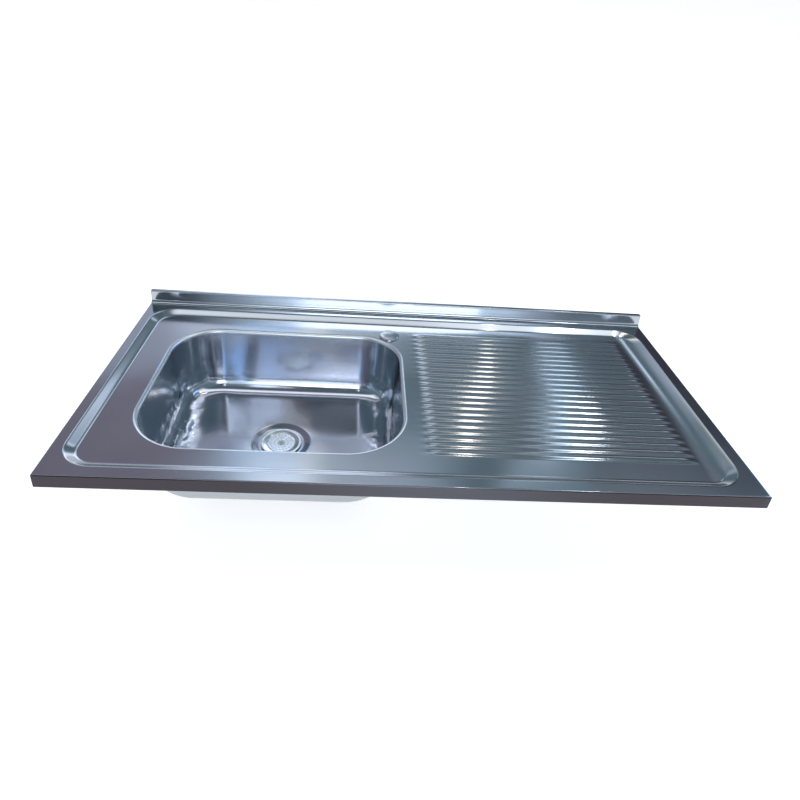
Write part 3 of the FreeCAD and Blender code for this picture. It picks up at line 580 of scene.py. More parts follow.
# The grinding lines are drawn 2.4 mm apart and 200 mm long, as fine as the picture shows them.
GRAIN_PER_METRE = (5, 420, 420)
GRAIN_SHADE = (0.965, 1.0)
GRAIN_PULL = 0.5
# Painted shade on the front apron: darker and brown towards its ends, lighter in the middle.
APRON_SHADE_LIGHT_TINT = "#5B5B61"
APRON_SHADE_DARK_TINT = "#494448"
APRON_SHADE_MIDDLE = 30 * MM
APRON_SHADE_LIGHT_TO = 20 * MM
APRON_SHADE_DARK_FROM = 360 * MM
APRON_SHADE_FADE = (0.5 * MM, 2.4 * MM)
# Painted highlight on the lip round the bowl: a pale tint, with added roughness.
MOUTH_HIGHLIGHT_TINT = "#EEF2F5"
MOUTH_ADDED_ROUGHNESS = 0.2
MOUTH_FADE = (0.1 * MM, 0.8 * MM)
MOUTH_HALO_X = 325 * MM
MOUTH_HALO_Y = 265 * MM
WAVES_PER_METRE = 5.5
WAVE_HEIGHT = 1.4 * MM
TWIST_X = 140 * MM
TWIST_Y = 200 * MM
TWIST_REACH = 80 * MM
TWIST = 0.17


def satin_stainless():
    material, tree = new_material("satin_rolled_stainless")
    place = add_node(tree, "ShaderNodeTexCoord").outputs["Object"]
    parts = add_node(tree, "ShaderNodeSeparateXYZ", {"Vector": place}).outputs
    stretched = add_node(tree, "ShaderNodeMapping", {"Vector": place, "Scale": GRAIN_PER_METRE})
    lines = add_node(tree, "ShaderNodeTexNoise", {
        "Vector": stretched, "Scale": 1.0, "Detail": 3, "Roughness": 0.6,
    })
    shade = add_node(tree, "ShaderNodeMapRange", {
        "Value": lines, "From Min": 0.2, "From Max": 0.8,
        "To Min": GRAIN_SHADE[0], "To Max": GRAIN_SHADE[1],
    })
    smudge = add_node(tree, "ShaderNodeTexNoise", {
        "Vector": place, "Scale": SMUDGES_PER_METRE, "Detail": 4,
    })
    colour = add_node(tree, "ShaderNodeMix", {
        0: smudge, 6: linear(SHEET_TINT), 7: linear(SHEET_CLOUD_TINT),
    }, data_type="RGBA")
    # painted shade on the apron, lightest in the middle of its length
    sideways = add_node(tree, "ShaderNodeMath", {0: parts["X"], 1: APRON_SHADE_MIDDLE}, operation="SUBTRACT")
    sideways = add_node(tree, "ShaderNodeMath", {0: sideways}, operation="ABSOLUTE")
    apron_shade_depth = add_node(tree, "ShaderNodeMapRange", {
        "Value": sideways, "From Min": APRON_SHADE_LIGHT_TO, "From Max": APRON_SHADE_DARK_FROM,
    }, interpolation_type="SMOOTHSTEP")
    apron_shade = add_node(tree, "ShaderNodeMix", {
        0: apron_shade_depth, 6: linear(APRON_SHADE_LIGHT_TINT), 7: linear(APRON_SHADE_DARK_TINT),
    }, data_type="RGBA")
    apron = add_node(tree, "ShaderNodeMapRange", {
        "Value": parts["Y"], "From Min": front_face + APRON_SHADE_FADE[0], "From Max": front_face + APRON_SHADE_FADE[1],
        "To Min": 1.0, "To Max": 0.0,
    })
    colour = add_node(tree, "ShaderNodeMix", {0: apron, 6: colour, 7: apron_shade}, data_type="RGBA")
    # painted highlight on the lip: what lies below the recess floor, within an ellipse round the bowl, is
    # tinted pale
    below = add_node(tree, "ShaderNodeMapRange", {
        "Value": parts["Z"], "From Min": floor - MOUTH_FADE[0], "From Max": floor - MOUTH_FADE[1],
    })
    from_bowl = add_node(tree, "ShaderNodeVectorMath", {
        0: place, 1: (bowl_x, bowl_y, 0),
    }, operation="SUBTRACT")
    from_bowl = add_node(tree, "ShaderNodeVectorMath", {
        0: from_bowl, 1: (1 / MOUTH_HALO_X, 1 / MOUTH_HALO_Y, 0),
    }, operation="MULTIPLY")
    from_bowl = add_node(tree, "ShaderNodeVectorMath", {0: from_bowl}, operation="LENGTH")
    near_bowl = add_node(tree, "ShaderNodeMapRange", {
        "Value": from_bowl, "From Min": 1.0, "From Max": 0.95,
    })
    lip_with_painted_highlight = add_node(tree, "ShaderNodeMath", {0: below, 1: near_bowl}, operation="MULTIPLY")
    colour = add_node(tree, "ShaderNodeMix", {
        0: lip_with_painted_highlight, 6: colour, 7: linear(MOUTH_HIGHLIGHT_TINT),
    }, data_type="RGBA")
    colour = add_node(tree, "ShaderNodeMix", {
        0: 1.0, 6: colour, 7: shade,
    }, data_type="RGBA", blend_type="MULTIPLY")
    rough = add_node(tree, "ShaderNodeMapRange", {
        "Value": smudge, "To Min": SHEET_ROUGHNESS[0], "To Max": SHEET_ROUGHNESS[1],
    })
    rough = add_node(tree, "ShaderNodeMath", {
        0: lip_with_painted_highlight, 1: MOUTH_ADDED_ROUGHNESS, 2: rough,
    }, operation="MULTIPLY_ADD")
    waves = add_node(tree, "ShaderNodeTexNoise", {"Vector": place, "Scale": WAVES_PER_METRE, "Detail": 0})
    # the pressed drainer is twisted a little beside the bowl
    beside = add_node(tree, "ShaderNodeMath", {0: parts["X"], 1: TWIST_X}, operation="SUBTRACT")
    beside = add_node(tree, "ShaderNodeMath", {0: beside, 1: 1 / TWIST_REACH}, operation="MULTIPLY")
    beside = add_node(tree, "ShaderNodeMath", {0: beside}, operation="TANH")
    along = add_node(tree, "ShaderNodeMath", {0: parts["Y"], 1: TWIST_Y}, operation="SUBTRACT")
    twist = add_node(tree, "ShaderNodeMath", {0: beside, 1: along}, operation="MULTIPLY")
    twist = add_node(tree, "ShaderNodeMath", {0: twist, 1: TWIST * TWIST_REACH}, operation="MULTIPLY")
    height = add_node(tree, "ShaderNodeMath", {
        0: waves, 1: WAVE_HEIGHT, 2: twist,
    }, operation="MULTIPLY_ADD")
    bump = add_node(tree, "ShaderNodeBump", {"Height": height, "Strength": 1.0, "Distance": 1.0})
    grain = add_node(tree, "ShaderNodeCombineXYZ", {"X": 1.0, "Y": 0.02, "Z": 0.01})
    shader = add_node(tree, "ShaderNodeBsdfPrincipled", {
        "Base Color": colour, "Metallic": 1.0, "Roughness": rough, "Anisotropic": GRAIN_PULL,
        "Anisotropic Rotation": 0.25, "Normal": bump, "Tangent": grain,
    })
    add_node(tree, "ShaderNodeOutputMaterial", {"Surface": shader})
    return material


dress(worktop, satin_stainless(), "worktop", "sink")


# Bowl: deep-drawn from its own sheet, polished bright and butt-welded to the neck of the worktop.
# Its walls lean in a little, round off into the floor, and the floor dishes down to the waste.
BOWL_DEPTH = 160 * MM
DRAFT_RUN = 12 * MM
FOOT_RADIUS = 38 * MM
FLOOR_FALL = 1.2 * MM
DISH_RADIUS = 64 * MM
DISH_DROP = 3 * MM
SEAT_RADIUS = 46 * MM
SEAT_HOLE_RADIUS = 35 * MM
BOWL_SIDE_LINES = (112, 92, 112, 92)
WALL_STEPS = 14
FOOT_STEPS = 16
FLOOR_STEPS = 9

bowl_floor = rim - BOWL_DEPTH
neck_foot = floor - NECK_DEPTH
seat = bowl_floor - DISH_DROP


def bowl_section():
    """Offsets from the mouth's outline and heights, from the neck down to the foot of the wall."""
    foot = bowl_floor + FLOOR_FALL
    lean = math.atan2(DRAFT_RUN, neck_foot - foot)
    tangent = FOOT_RADIUS / math.tan((math.pi / 2 + lean) / 2)
    centre = Vector((-DRAFT_RUN - tangent, foot + FOOT_RADIUS))
    top = Vector((0, neck_foot))
    arc_start = centre + FOOT_RADIUS * Vector((math.cos(lean), -math.sin(lean)))
    section = [top.lerp(arc_start, share) for share in spread(0, 1, WALL_STEPS)]
    for turn in spread(-lean, -math.pi / 2, FOOT_STEPS)[1:]:
        section.append(centre + FOOT_RADIUS * Vector((math.cos(turn), math.sin(turn))))
    return section


def bowl_skin():
    skin = Skin()
    shares = [spread(0, 1, count)[:-1] for count in BOWL_SIDE_LINES]

    def outline(offset):
        return [place for number in range(4) for place in mouth_side(number, shares[number], offset)]

    rows = [[(x, y, point.y) for x, y in outline(point.x)] for point in bowl_section()]
    last = rows[-1]
    circle = []
    for x, y, z in last:
        away = Vector((x - bowl_x, y - bowl_y)).normalized() * DISH_RADIUS
        circle.append((bowl_x + away.x, bowl_y + away.y))
    for share in spread(0, 1, FLOOR_STEPS)[1:]:
        height = bowl_floor + FLOOR_FALL * (1 - share) ** 1.5
        rows.append([
            (x + (inner_x - x) * share, y + (inner_y - y) * share, height)
            for (x, y, z), (inner_x, inner_y) in zip(last, circle)
        ])
    rings = []
    for share in (0.08, 0.2, 0.4, 0.6, 0.8, 0.92, 1.0):
        radius = DISH_RADIUS + (SEAT_RADIUS - DISH_RADIUS) * share
        rings.append((radius, bowl_floor - DISH_DROP * eased(share)))
    rings += [(SEAT_RADIUS - 1 * MM, seat), (SEAT_HOLE_RADIUS, seat)]
    for radius, height in rings:
        scale = radius / DISH_RADIUS
        rows.append([
            (bowl_x + (x - bowl_x) * scale, bowl_y + (y - bowl_y) * scale, height) for x, y in circle
        ])
    skin.rows(rows, True)
    return skin


floor_point = (bowl_x + 100 * MM, bowl_y, bowl_floor)
bowl = bowl_skin().piece("drawn_bowl", (floor_point, (0, 0, 1)))
add_modifier(bowl, "SOLIDIFY", thickness=GAUGE, offset=-1, use_even_offset=True)
settle(bowl)


# Drawn and mechanically polished stainless steel. The walls keep fine grinding round the bowl, which
# stretches highlights up and down, the floor is tinted darker as painted shade, and the lower corners
# are wrinkled where the sheet was gathered. The outside stays as dull and grey as it left the press.
BOWL_TINT = "#DADEE4"
# Painted shade: the floor of the bowl and the foot of its walls are tinted darker.
BOWL_FLOOR_SHADE_TINT = "#B4B6C0"
BOWL_FLOOR_SHADE_FADE = (26 * MM, 6 * MM)
BOWL_OUTSIDE_TINT = "#B8BBBF"
OUTSIDE_ADDED_ROUGHNESS = 0.2
FLOOR_ROUGHNESS = 0.1
WALL_ROUGHNESS = 0.13
WALL_FADE = (8 * MM, 30 * MM)
CLOUDS_PER_METRE = 14
CLOUD_ROUGHNESS = 0.05
BOWL_WAVES_PER_METRE = 9
BOWL_WAVES = 2.4 * MM
WRINKLES_PER_METRE = 34
WRINKLES = 2.6 * MM
WRINKLE_SPAN = (165 * MM, 205 * MM)
WRINKLE_HEIGHTS = (80 * MM, 45 * MM)


def bright_stainless():
    material, tree = new_material("bright_drawn_stainless")
    coordinates = add_node(tree, "ShaderNodeTexCoord").outputs
    place = coordinates["Object"]
    parts = add_node(tree, "ShaderNodeSeparateXYZ", {"Vector": place}).outputs
    from_middle = add_node(tree, "ShaderNodeVectorMath", {
        0: place, 1: (bowl_x, bowl_y, bowl_floor / 2),
    }, operation="SUBTRACT")
    outward = add_node(tree, "ShaderNodeVectorMath", {
        0: from_middle, 1: coordinates["Normal"],
    }, operation="DOT_PRODUCT")
    outside = add_node(tree, "ShaderNodeMath", {0: outward, 1: 0.0}, operation="GREATER_THAN")
    # painted shade, darker towards the floor of the bowl
    painted_floor_shade = add_node(tree, "ShaderNodeMapRange", {
        "Value": parts["Z"], "From Min": bowl_floor + BOWL_FLOOR_SHADE_FADE[0],
        "From Max": bowl_floor + BOWL_FLOOR_SHADE_FADE[1],
    }, interpolation_type="SMOOTHSTEP")
    colour = add_node(tree, "ShaderNodeMix", {
        0: painted_floor_shade, 6: linear(BOWL_TINT), 7: linear(BOWL_FLOOR_SHADE_TINT),
    }, data_type="RGBA")
    colour = add_node(tree, "ShaderNodeMix", {
        0: outside, 6: colour, 7: linear(BOWL_OUTSIDE_TINT),
    }, data_type="RGBA")
    rough = add_node(tree, "ShaderNodeMapRange", {
        "Value": parts["Z"], "From Min": bowl_floor + WALL_FADE[0], "From Max": bowl_floor + WALL_FADE[1],
        "To Min": FLOOR_ROUGHNESS, "To Max": WALL_ROUGHNESS,
    }, interpolation_type="SMOOTHSTEP")
    cloud = add_node(tree, "ShaderNodeTexNoise", {
        "Vector": place, "Scale": CLOUDS_PER_METRE, "Detail": 1,
    })
    for mask, added in ((cloud, CLOUD_ROUGHNESS), (outside, OUTSIDE_ADDED_ROUGHNESS)):
        rough = add_node(tree, "ShaderNodeMath", {0: mask, 1: added, 2: rough}, operation="MULTIPLY_ADD")
    waves = add_node(tree, "ShaderNodeTexNoise", {
        "Vector": place, "Scale": BOWL_WAVES_PER_METRE, "Detail": 0,
    })
    # wrinkles in the lower corners
    creases = add_node(tree, "ShaderNodeTexNoise", {
        "Vector": place, "Scale": WRINKLES_PER_METRE, "Detail": 1,
    })
    sideways = add_node(tree, "ShaderNodeMath", {0: parts["X"], 1: bowl_x}, operation="SUBTRACT")
    sideways = add_node(tree, "ShaderNodeMath", {0: sideways}, operation="ABSOLUTE")
    corner = add_node(tree, "ShaderNodeMapRange", {
        "Value": sideways, "From Min": WRINKLE_SPAN[0], "From Max": WRINKLE_SPAN[1],
    }, interpolation_type="SMOOTHSTEP")
    low = add_node(tree, "ShaderNodeMapRange", {
        "Value": parts["Z"], "From Min": bowl_floor + WRINKLE_HEIGHTS[0],
        "From Max": bowl_floor + WRINKLE_HEIGHTS[1],
    }, interpolation_type="SMOOTHSTEP")
    gathered = corner
    for factor in (low, creases, WRINKLES):
        gathered = add_node(tree, "ShaderNodeMath", {0: gathered, 1: factor}, operation="MULTIPLY")
    height = add_node(tree, "ShaderNodeMath", {
        0: waves, 1: BOWL_WAVES, 2: gathered,
    }, operation="MULTIPLY_ADD")
    bump = add_node(tree, "ShaderNodeBump", {"Height": height, "Strength": 1.0, "Distance": 1.0})
    upright = add_node(tree, "ShaderNodeCombineXYZ", {"Y": 0.08, "Z": 1.0})
    shader = add_node(tree, "ShaderNodeBsdfPrincipled", {
        "Base Color": colour, "Metallic": 1.0, "Roughness": rough, "Anisotropic": GRAIN_PULL,
        "Normal": bump, "Tangent": upright,
    })
    add_node(tree, "ShaderNodeOutputMaterial", {"Surface": shader})
    return material


dress(bowl, bright_stainless(), "bowl", "sink")


# Turned pieces are a closed outline of radii and heights, its corners eased, swept round a line.
EASE_SHARE = 0.45
EASE_STEPS = 3
TURNED_SIDES = 96


def eased_outline(points, radius):
    """The outline with each corner off the middle line rounded as far as its neighbours leave room."""
    found = []
    count = len(points)
    for index in range(count):
        before, here, after = (Vector(points[(index + step) % count]) for step in (-1, 0, 1))
        if here.x == 0:
            found.append(here)
            continue
        to_before, to_after = before - here, after - here
        reach = min(radius, EASE_SHARE * to_before.length, EASE_SHARE * to_after.length)
        start = here + reach * to_before.normalized()
        end = here + reach * to_after.normalized()
        for share in spread(0, 1, EASE_STEPS):
            found.append(start * (1 - share) ** 2 + here * 2 * share * (1 - share) + end * share ** 2)
    return found


def turned(name, outline, x, y):
    skin = Skin()
    if outline[0].x > 0:
        outline = outline + outline[:1]
    turns = spread(0, math.tau, TURNED_SIDES)[:-1]
    skin.rows([
        [(x + point.x * math.cos(turn), y + point.x * math.sin(turn), point.y) for turn in turns]
        for point in outline
    ], True)
    widest = max(outline, key=lambda point: point.x)
    return skin.piece(name, ((x + widest.x, y, widest.y), (1, 0, 0)))


# Stainless steel turned or punched and then polished on a wheel: fine rings, drawn 1.2 mm apart,
# run round the middle, and its gloss varies a little in clouds.
POLISH_RING_SCALE = 260
POLISH_RING_DEPTH = 0.05 * MM
POLISH_SPREAD = 0.05


def wheel_polished(name, x, y, base, roughness):
    material, tree = new_material(name)
    place = add_node(tree, "ShaderNodeTexCoord").outputs["Object"]
    centred = add_node(tree, "ShaderNodeMapping", {"Vector": place, "Location": (-x, -y, 0)})
    rings = add_node(tree, "ShaderNodeTexWave", {
        "Vector": centred, "Scale": POLISH_RING_SCALE, "Distortion": 1.2, "Detail": 2,
    }, wave_type="RINGS", rings_direction="Z")
    bump = add_node(tree, "ShaderNodeBump", {
        "Height": rings.outputs["Fac"], "Strength": 0.05, "Distance": POLISH_RING_DEPTH,
    })
    cloud = add_node(tree, "ShaderNodeTexNoise", {"Vector": place, "Scale": 60, "Detail": 3})
    rough = add_node(tree, "ShaderNodeMapRange", {
        "Value": cloud, "To Min": roughness - POLISH_SPREAD, "To Max": roughness + POLISH_SPREAD,
    })
    shader = add_node(tree, "ShaderNodeBsdfPrincipled", {
        "Base Color": linear(base), "Metallic": 1.0, "Roughness": rough, "Normal": bump,
    })
    add_node(tree, "ShaderNodeOutputMaterial", {"Surface": shader})
    return material


# Waste flange: a stainless cup with a flat ring that lies on the soft seal in the bowl's seat. The
# clamp screw through the middle of the cup holds it, and the water leaves by six holes.
FLANGE_RING = 5 * MM
FLANGE_SLOPE = 2.4 * MM
FLANGE_SHEET = 1.2 * MM
THROAT_RADIUS = 30 * MM
LEDGE_WIDTH = 3.5 * MM
SCREW_BORE = 3.1 * MM
FLANGE_EASE = 0.5 * MM
WASTE_TINT = "#EEF2F6"
WASTE_ROUGHNESS = 0.24
DRAIN_HOLE_RADIUS = 5 * MM
DRAIN_HOLE_CIRCLE = 16 * MM
DRAIN_HOLE_COUNT = 6
DRAIN_HOLE_SIDES = 32
DRAIN_PUNCH_REACH = 1 * MM

flange_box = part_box("waste_flange")
waste_x = (flange_box[0].x + flange_box[1].x) / 2
waste_y = (flange_box[0].y + flange_box[1].y) / 2
flange_radius = flange_box[1].x - waste_x
flange_top = flange_box[1].z
flange_under = flange_top - FLANGE_SHEET
cup_under = flange_box[0].z
cup_floor = cup_under + FLANGE_SHEET
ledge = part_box("strainer_plate")[0].z
cup_radius = THROAT_RADIUS - LEDGE_WIDTH
slope_foot = flange_top - FLANGE_SLOPE
waste_steel = wheel_polished("wheel_polished_waste_steel", waste_x, waste_y, WASTE_TINT, WASTE_ROUGHNESS)

flange = turned("waste_flange_cup", eased_outline([
    (flange_radius, flange_under),
    (flange_radius, flange_top),
    (flange_radius - FLANGE_RING, flange_top),
    (THROAT_RADIUS, slope_foot),
    (THROAT_RADIUS, ledge),
    (cup_radius, ledge),
    (cup_radius, cup_floor),
    (SCREW_BORE, cup_floor),
    (SCREW_BORE, cup_under),
    (cup_radius + FLANGE_SHEET, cup_under),
    (cup_radius + FLANGE_SHEET, ledge - FLANGE_SHEET),
    (THROAT_RADIUS + FLANGE_SHEET, ledge - FLANGE_SHEET),
    (THROAT_RADIUS + FLANGE_SHEET, slope_foot - FLANGE_SHEET),
    (flange_radius - FLANGE_RING, flange_under),
], FLANGE_EASE), waste_x, waste_y)
drains = [
    (waste_x + DRAIN_HOLE_CIRCLE * math.cos(turn), waste_y + DRAIN_HOLE_CIRCLE * math.sin(turn))
    for turn in spread(0, math.tau, DRAIN_HOLE_COUNT)[:-1]
]
cut_with(flange, punch(
    "drain_punch", drains, DRAIN_HOLE_RADIUS, cup_under - DRAIN_PUNCH_REACH,
    cup_floor + DRAIN_PUNCH_REACH, DRAIN_HOLE_SIDES,
))
dress(flange, waste_steel, "waste_flange", "sink")


# Strainer plate: a thin steel disc on the cup's ledge, a little crowned at its rim, with rings of
# punched holes. The holes are cut by Geometry Nodes: one round punch on each place of each ring.
STRAINER_RING_COUNTS = (8, 14, 20)
STRAINER_RING_STEP = 7.5 * MM
STRAINER_HOLE_RADIUS = 1.6 * MM
STRAINER_HOLE_SIDES = 20
STRAINER_CROWN_DROP = 0.35 * MM
STRAINER_CROWN_RUN = 1.2 * MM
STRAINER_EASE = 0.3 * MM
STRAINER_PUNCH_LENGTH = 4 * MM
PEG_BORE = 3.1 * MM

plate_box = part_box("strainer_plate")
plate_top = plate_box[1].z
plate_radius = plate_box[1].x - waste_x


def ring_punches():
    """A node tree that cuts rings of holes through a flat piece."""
    tree = bpy.data.node_groups.new("ring_punches", "GeometryNodeTree")
    for name, kind in (
        ("Geometry", "Geometry"), ("Centre", "Vector"), ("Ring Step", "Float"),
        ("Hole Radius", "Float"), ("Punch Length", "Float"), ("Material", "Material"),
    ):
        tree.interface.new_socket(name, in_out="INPUT", socket_type="NodeSocket" + kind)
    tree.interface.new_socket("Geometry", in_out="OUTPUT", socket_type="NodeSocketGeometry")
    given = add_node(tree, "NodeGroupInput").outputs
    punch_mesh = add_node(tree, "GeometryNodeMeshCylinder", {
        "Vertices": STRAINER_HOLE_SIDES, "Radius": given["Hole Radius"], "Depth": given["Punch Length"],
    }).outputs["Mesh"]
    joined = add_node(tree, "GeometryNodeJoinGeometry")
    for number, count in enumerate(STRAINER_RING_COUNTS, start=1):
        radius = add_node(tree, "ShaderNodeMath", {
            0: given["Ring Step"], 1: float(number),
        }, operation="MULTIPLY")
        circle = add_node(tree, "GeometryNodeMeshCircle", {"Vertices": count, "Radius": radius})
        placed = add_node(tree, "GeometryNodeInstanceOnPoints", {
            "Points": circle, "Instance": punch_mesh,
        })
        tree.links.new(placed.outputs["Instances"], joined.inputs["Geometry"])
    solid = add_node(tree, "GeometryNodeRealizeInstances", {"Geometry": joined})
    moved = add_node(tree, "GeometryNodeTransform", {"Geometry": solid, "Translation": given["Centre"]})
    holed = add_node(tree, "GeometryNodeMeshBoolean", {
        "Mesh 1": given["Geometry"], "Mesh 2": moved,
    }, operation="DIFFERENCE")
    plain = add_node(tree, "GeometryNodeRealizeInstances", {"Geometry": holed})
    dressed = add_node(tree, "GeometryNodeSetMaterial", {
        "Geometry": plain, "Material": given["Material"],
    })
    add_node(tree, "NodeGroupOutput", {"Geometry": dressed})
    return tree


def apply_nodes(piece, tree, **values):
    """Runs a node tree on a piece, its inputs given by name with _ for each space."""
    modifier = piece.modifiers.new(tree.name, "NODES")
    modifier.node_group = tree
    for socket in tree.interface.items_tree:
        name = socket.name.replace(" ", "_").lower()
        if socket.in_out == "INPUT" and name in values:
            modifier[socket.identifier] = values[name]
    settle(piece)


plate = turned("strainer_disc", eased_outline([
    (PEG_BORE, ledge),
    (plate_radius, ledge),
    (plate_radius, plate_top - STRAINER_CROWN_DROP),
    (plate_radius - STRAINER_CROWN_RUN, plate_top),
    (PEG_BORE, plate_top),
], STRAINER_EASE), waste_x, waste_y)
apply_nodes(
    plate, ring_punches(), centre=(waste_x, waste_y, (ledge + plate_top) / 2),
    ring_step=STRAINER_RING_STEP, hole_radius=STRAINER_HOLE_RADIUS,
    punch_length=STRAINER_PUNCH_LENGTH, material=waste_steel,
)
dress(plate, waste_steel, "strainer_plate", "strainer")


# Tap-hole cap: a shallow spun dome with a turned-down edge that rests on its foam ring. Its plug
# grips the hole in the worktop.
CAP_EDGE_DROP = 2.5 * MM
CAP_SHEET = 1 * MM
CAP_ARC_STEPS = 12
CAP_TINT = "#C4C8CC"
CAP_ROUGHNESS = 0.2

shoulder = disc_box[1].z - CAP_EDGE_DROP
cap_radius = disc_box[1].x - tap_x


def dome_line(radius, foot):
    """Points from the middle of a shallow dome of this radius down to its edge."""
    return [
        Vector((radius * math.sin(turn), foot + CAP_EDGE_DROP * math.cos(turn)))
        for turn in spread(0, math.pi / 2, CAP_ARC_STEPS)
    ]


hem = [Vector((cap_radius, floor)), Vector((cap_radius - CAP_SHEET, floor))]
lining = dome_line(cap_radius - CAP_SHEET, shoulder - CAP_SHEET)[::-1]
cap = turned("cap_dome", dome_line(cap_radius, shoulder) + hem + lining, tap_x, tap_y)
cap_steel = wheel_polished("wheel_polished_cap_steel", tap_x, tap_y, CAP_TINT, CAP_ROUGHNESS)
dress(cap, cap_steel, "cap_disc", "tap_hole_cap")


# The other pieces keep the shape of their CAD nodes and get the finish of the real piece.
def finish(material, *names):
    for name in names:
        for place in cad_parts[name].material_slots:
            place.material = material


# Fittings under the worktop, of zinc-plated steel: pale grey with a faint blue-yellow bloom from the
# plating bath and small crystals, 4 mm wide.
CRYSTALS_PER_METRE = 240
CRYSTAL_SHARE = 0.12
BLOOMS_PER_METRE = 30
ZINC_ROUGHNESS = (0.3, 0.45)


def zinc_plated():
    material, tree = new_material("zinc_plated_steel")
    place = add_node(tree, "ShaderNodeTexCoord").outputs["Object"]
    crystals = add_node(tree, "ShaderNodeTexVoronoi", {"Vector": place, "Scale": CRYSTALS_PER_METRE})
    bloom = add_node(tree, "ShaderNodeTexNoise", {
        "Vector": place, "Scale": BLOOMS_PER_METRE, "Detail": 3,
    })
    tint = add_node(tree, "ShaderNodeMix", {
        0: bloom, 6: linear("#C9CCD2"), 7: linear("#C8C4AE"),
    }, data_type="RGBA")
    tint = add_node(tree, "ShaderNodeMix", {
        0: CRYSTAL_SHARE, 6: tint, 7: crystals.outputs["Color"],
    }, data_type="RGBA", blend_type="MULTIPLY")
    rough = add_node(tree, "ShaderNodeMapRange", {
        "Value": bloom, "To Min": ZINC_ROUGHNESS[0], "To Max": ZINC_ROUGHNESS[1],
    })
    shader = add_node(tree, "ShaderNodeBsdfPrincipled", {
        "Base Color": tint, "Metallic": 1.0, "Roughness": rough,
    })
    add_node(tree, "ShaderNodeOutputMaterial", {"Surface": shader})
    return material


finish(
    zinc_plated(), "fixing_studs", "fixing_washers", "fixing_nuts", "drainer_stiffener_left",
    "drainer_stiffener_right", "bracket_front_left", "bracket_front_right", "bracket_rear_left",
    "bracket_rear_right",
)
finish(waste_steel, "clamp_screw")


# Moulded plastic and rubber, and pads of bitumen felt: two close shades in clouds 20 mm wide, and
# pits 1 to 2.4 mm wide, which are coarser than the real ones so that they show.
MOULD_CLOUDS_PER_METRE = 45
MOULD_SPREAD = 0.08


def moulded(name, light, dark, roughness, pits_per_metre, pit_depth):
    material, tree = new_material(name)
    place = add_node(tree, "ShaderNodeTexCoord").outputs["Object"]
    cloud = add_node(tree, "ShaderNodeTexNoise", {
        "Vector": place, "Scale": MOULD_CLOUDS_PER_METRE, "Detail": 4,
    })
    colour = add_node(tree, "ShaderNodeMix", {
        0: cloud, 6: linear(light), 7: linear(dark),
    }, data_type="RGBA")
    pits = add_node(tree, "ShaderNodeTexNoise", {"Vector": place, "Scale": pits_per_metre, "Detail": 2})
    bump = add_node(tree, "ShaderNodeBump", {"Height": pits, "Strength": 0.3, "Distance": pit_depth})
    rough = add_node(tree, "ShaderNodeMapRange", {
        "Value": cloud, "To Min": roughness - MOULD_SPREAD, "To Max": roughness + MOULD_SPREAD,
    })
    shader = add_node(tree, "ShaderNodeBsdfPrincipled", {
        "Base Color": colour, "Roughness": rough, "Normal": bump,
    })
    add_node(tree, "ShaderNodeOutputMaterial", {"Surface": shader})
    return material


# Waste cup of polypropylene, which is waxy and slightly yellow.
finish(moulded("moulded_white_polypropylene", "#E9E8E2", "#DDDCD4", 0.42, 900, 0.05 * MM), "waste_body")
# Plug of the cap and peg of the strainer, both of hard plastic with a low gloss.
finish(moulded("moulded_black_plastic", "#26272A", "#1C1D20", 0.45, 1100, 0.04 * MM), "cap_plug")
finish(moulded("moulded_grey_plastic", "#D2D4D6", "#C6C8CB", 0.4, 1100, 0.04 * MM), "strainer_post")
# Sealing washers of soft rubber, which is dull and dark.
rubber = moulded("soft_black_rubber", "#232323", "#181818", 0.7, 700, 0.06 * MM)
finish(rubber, "flange_seal", "under_seal", "cap_seal")
# Pads of bitumen felt against noise, glued on, with the coarsest pits.
bitumen = moulded("grey_bitumen_pad", "#56575A", "#46474A", 0.85, 420, 0.3 * MM)
finish(bitumen, "bowl_pad", "drainer_pad")


# Floor: a pale studio floor just under the waste outlet, 60 m wide. What the camera or the metal
# sees of it is lifted towards white, and it keeps the soft shadow of the sink.
FLOOR_SIDE = 60
FLOOR_TINT = "#F4F4F4"
FLOOR_LIFT = 0.68


def add_floor():
    half = FLOOR_SIDE / 2
    level = cad_box[0][2] - 0.1 * MM
    corners = [(-half, -half), (half, -half), (half, half), (-half, half)]
    mesh = bpy.data.meshes.new("floor")
    mesh.from_pydata([(x, y, level) for x, y in corners], [], [(0, 1, 2, 3)])
    ground = bpy.data.objects.new("floor", mesh)
    scene.collection.objects.link(ground)
    material, tree = new_material("pale_studio_floor")
    path = add_node(tree, "ShaderNodeLightPath").outputs
    seen = path["Is Camera Ray"]
    for ray in ("Is Glossy Ray", "Is Transmission Ray"):
        seen = add_node(tree, "ShaderNodeMath", {0: seen, 1: path[ray]}, operation="ADD")
    seen = add_node(tree, "ShaderNodeMath", {0: seen, 1: 1.0}, operation="MINIMUM")
    lift = add_node(tree, "ShaderNodeMath", {0: seen, 1: FLOOR_LIFT}, operation="MULTIPLY")
    matt = add_node(tree, "ShaderNodeBsdfDiffuse", {"Color": linear(FLOOR_TINT)})
    glow = add_node(tree, "ShaderNodeEmission", {"Color": linear("#FFFFFF"), "Strength": lift})
    both = add_node(tree, "ShaderNodeAddShader", {0: matt, 1: glow})
    add_node(tree, "ShaderNodeOutputMaterial", {"Surface": both})
    mesh.materials.append(material)


add_floor()


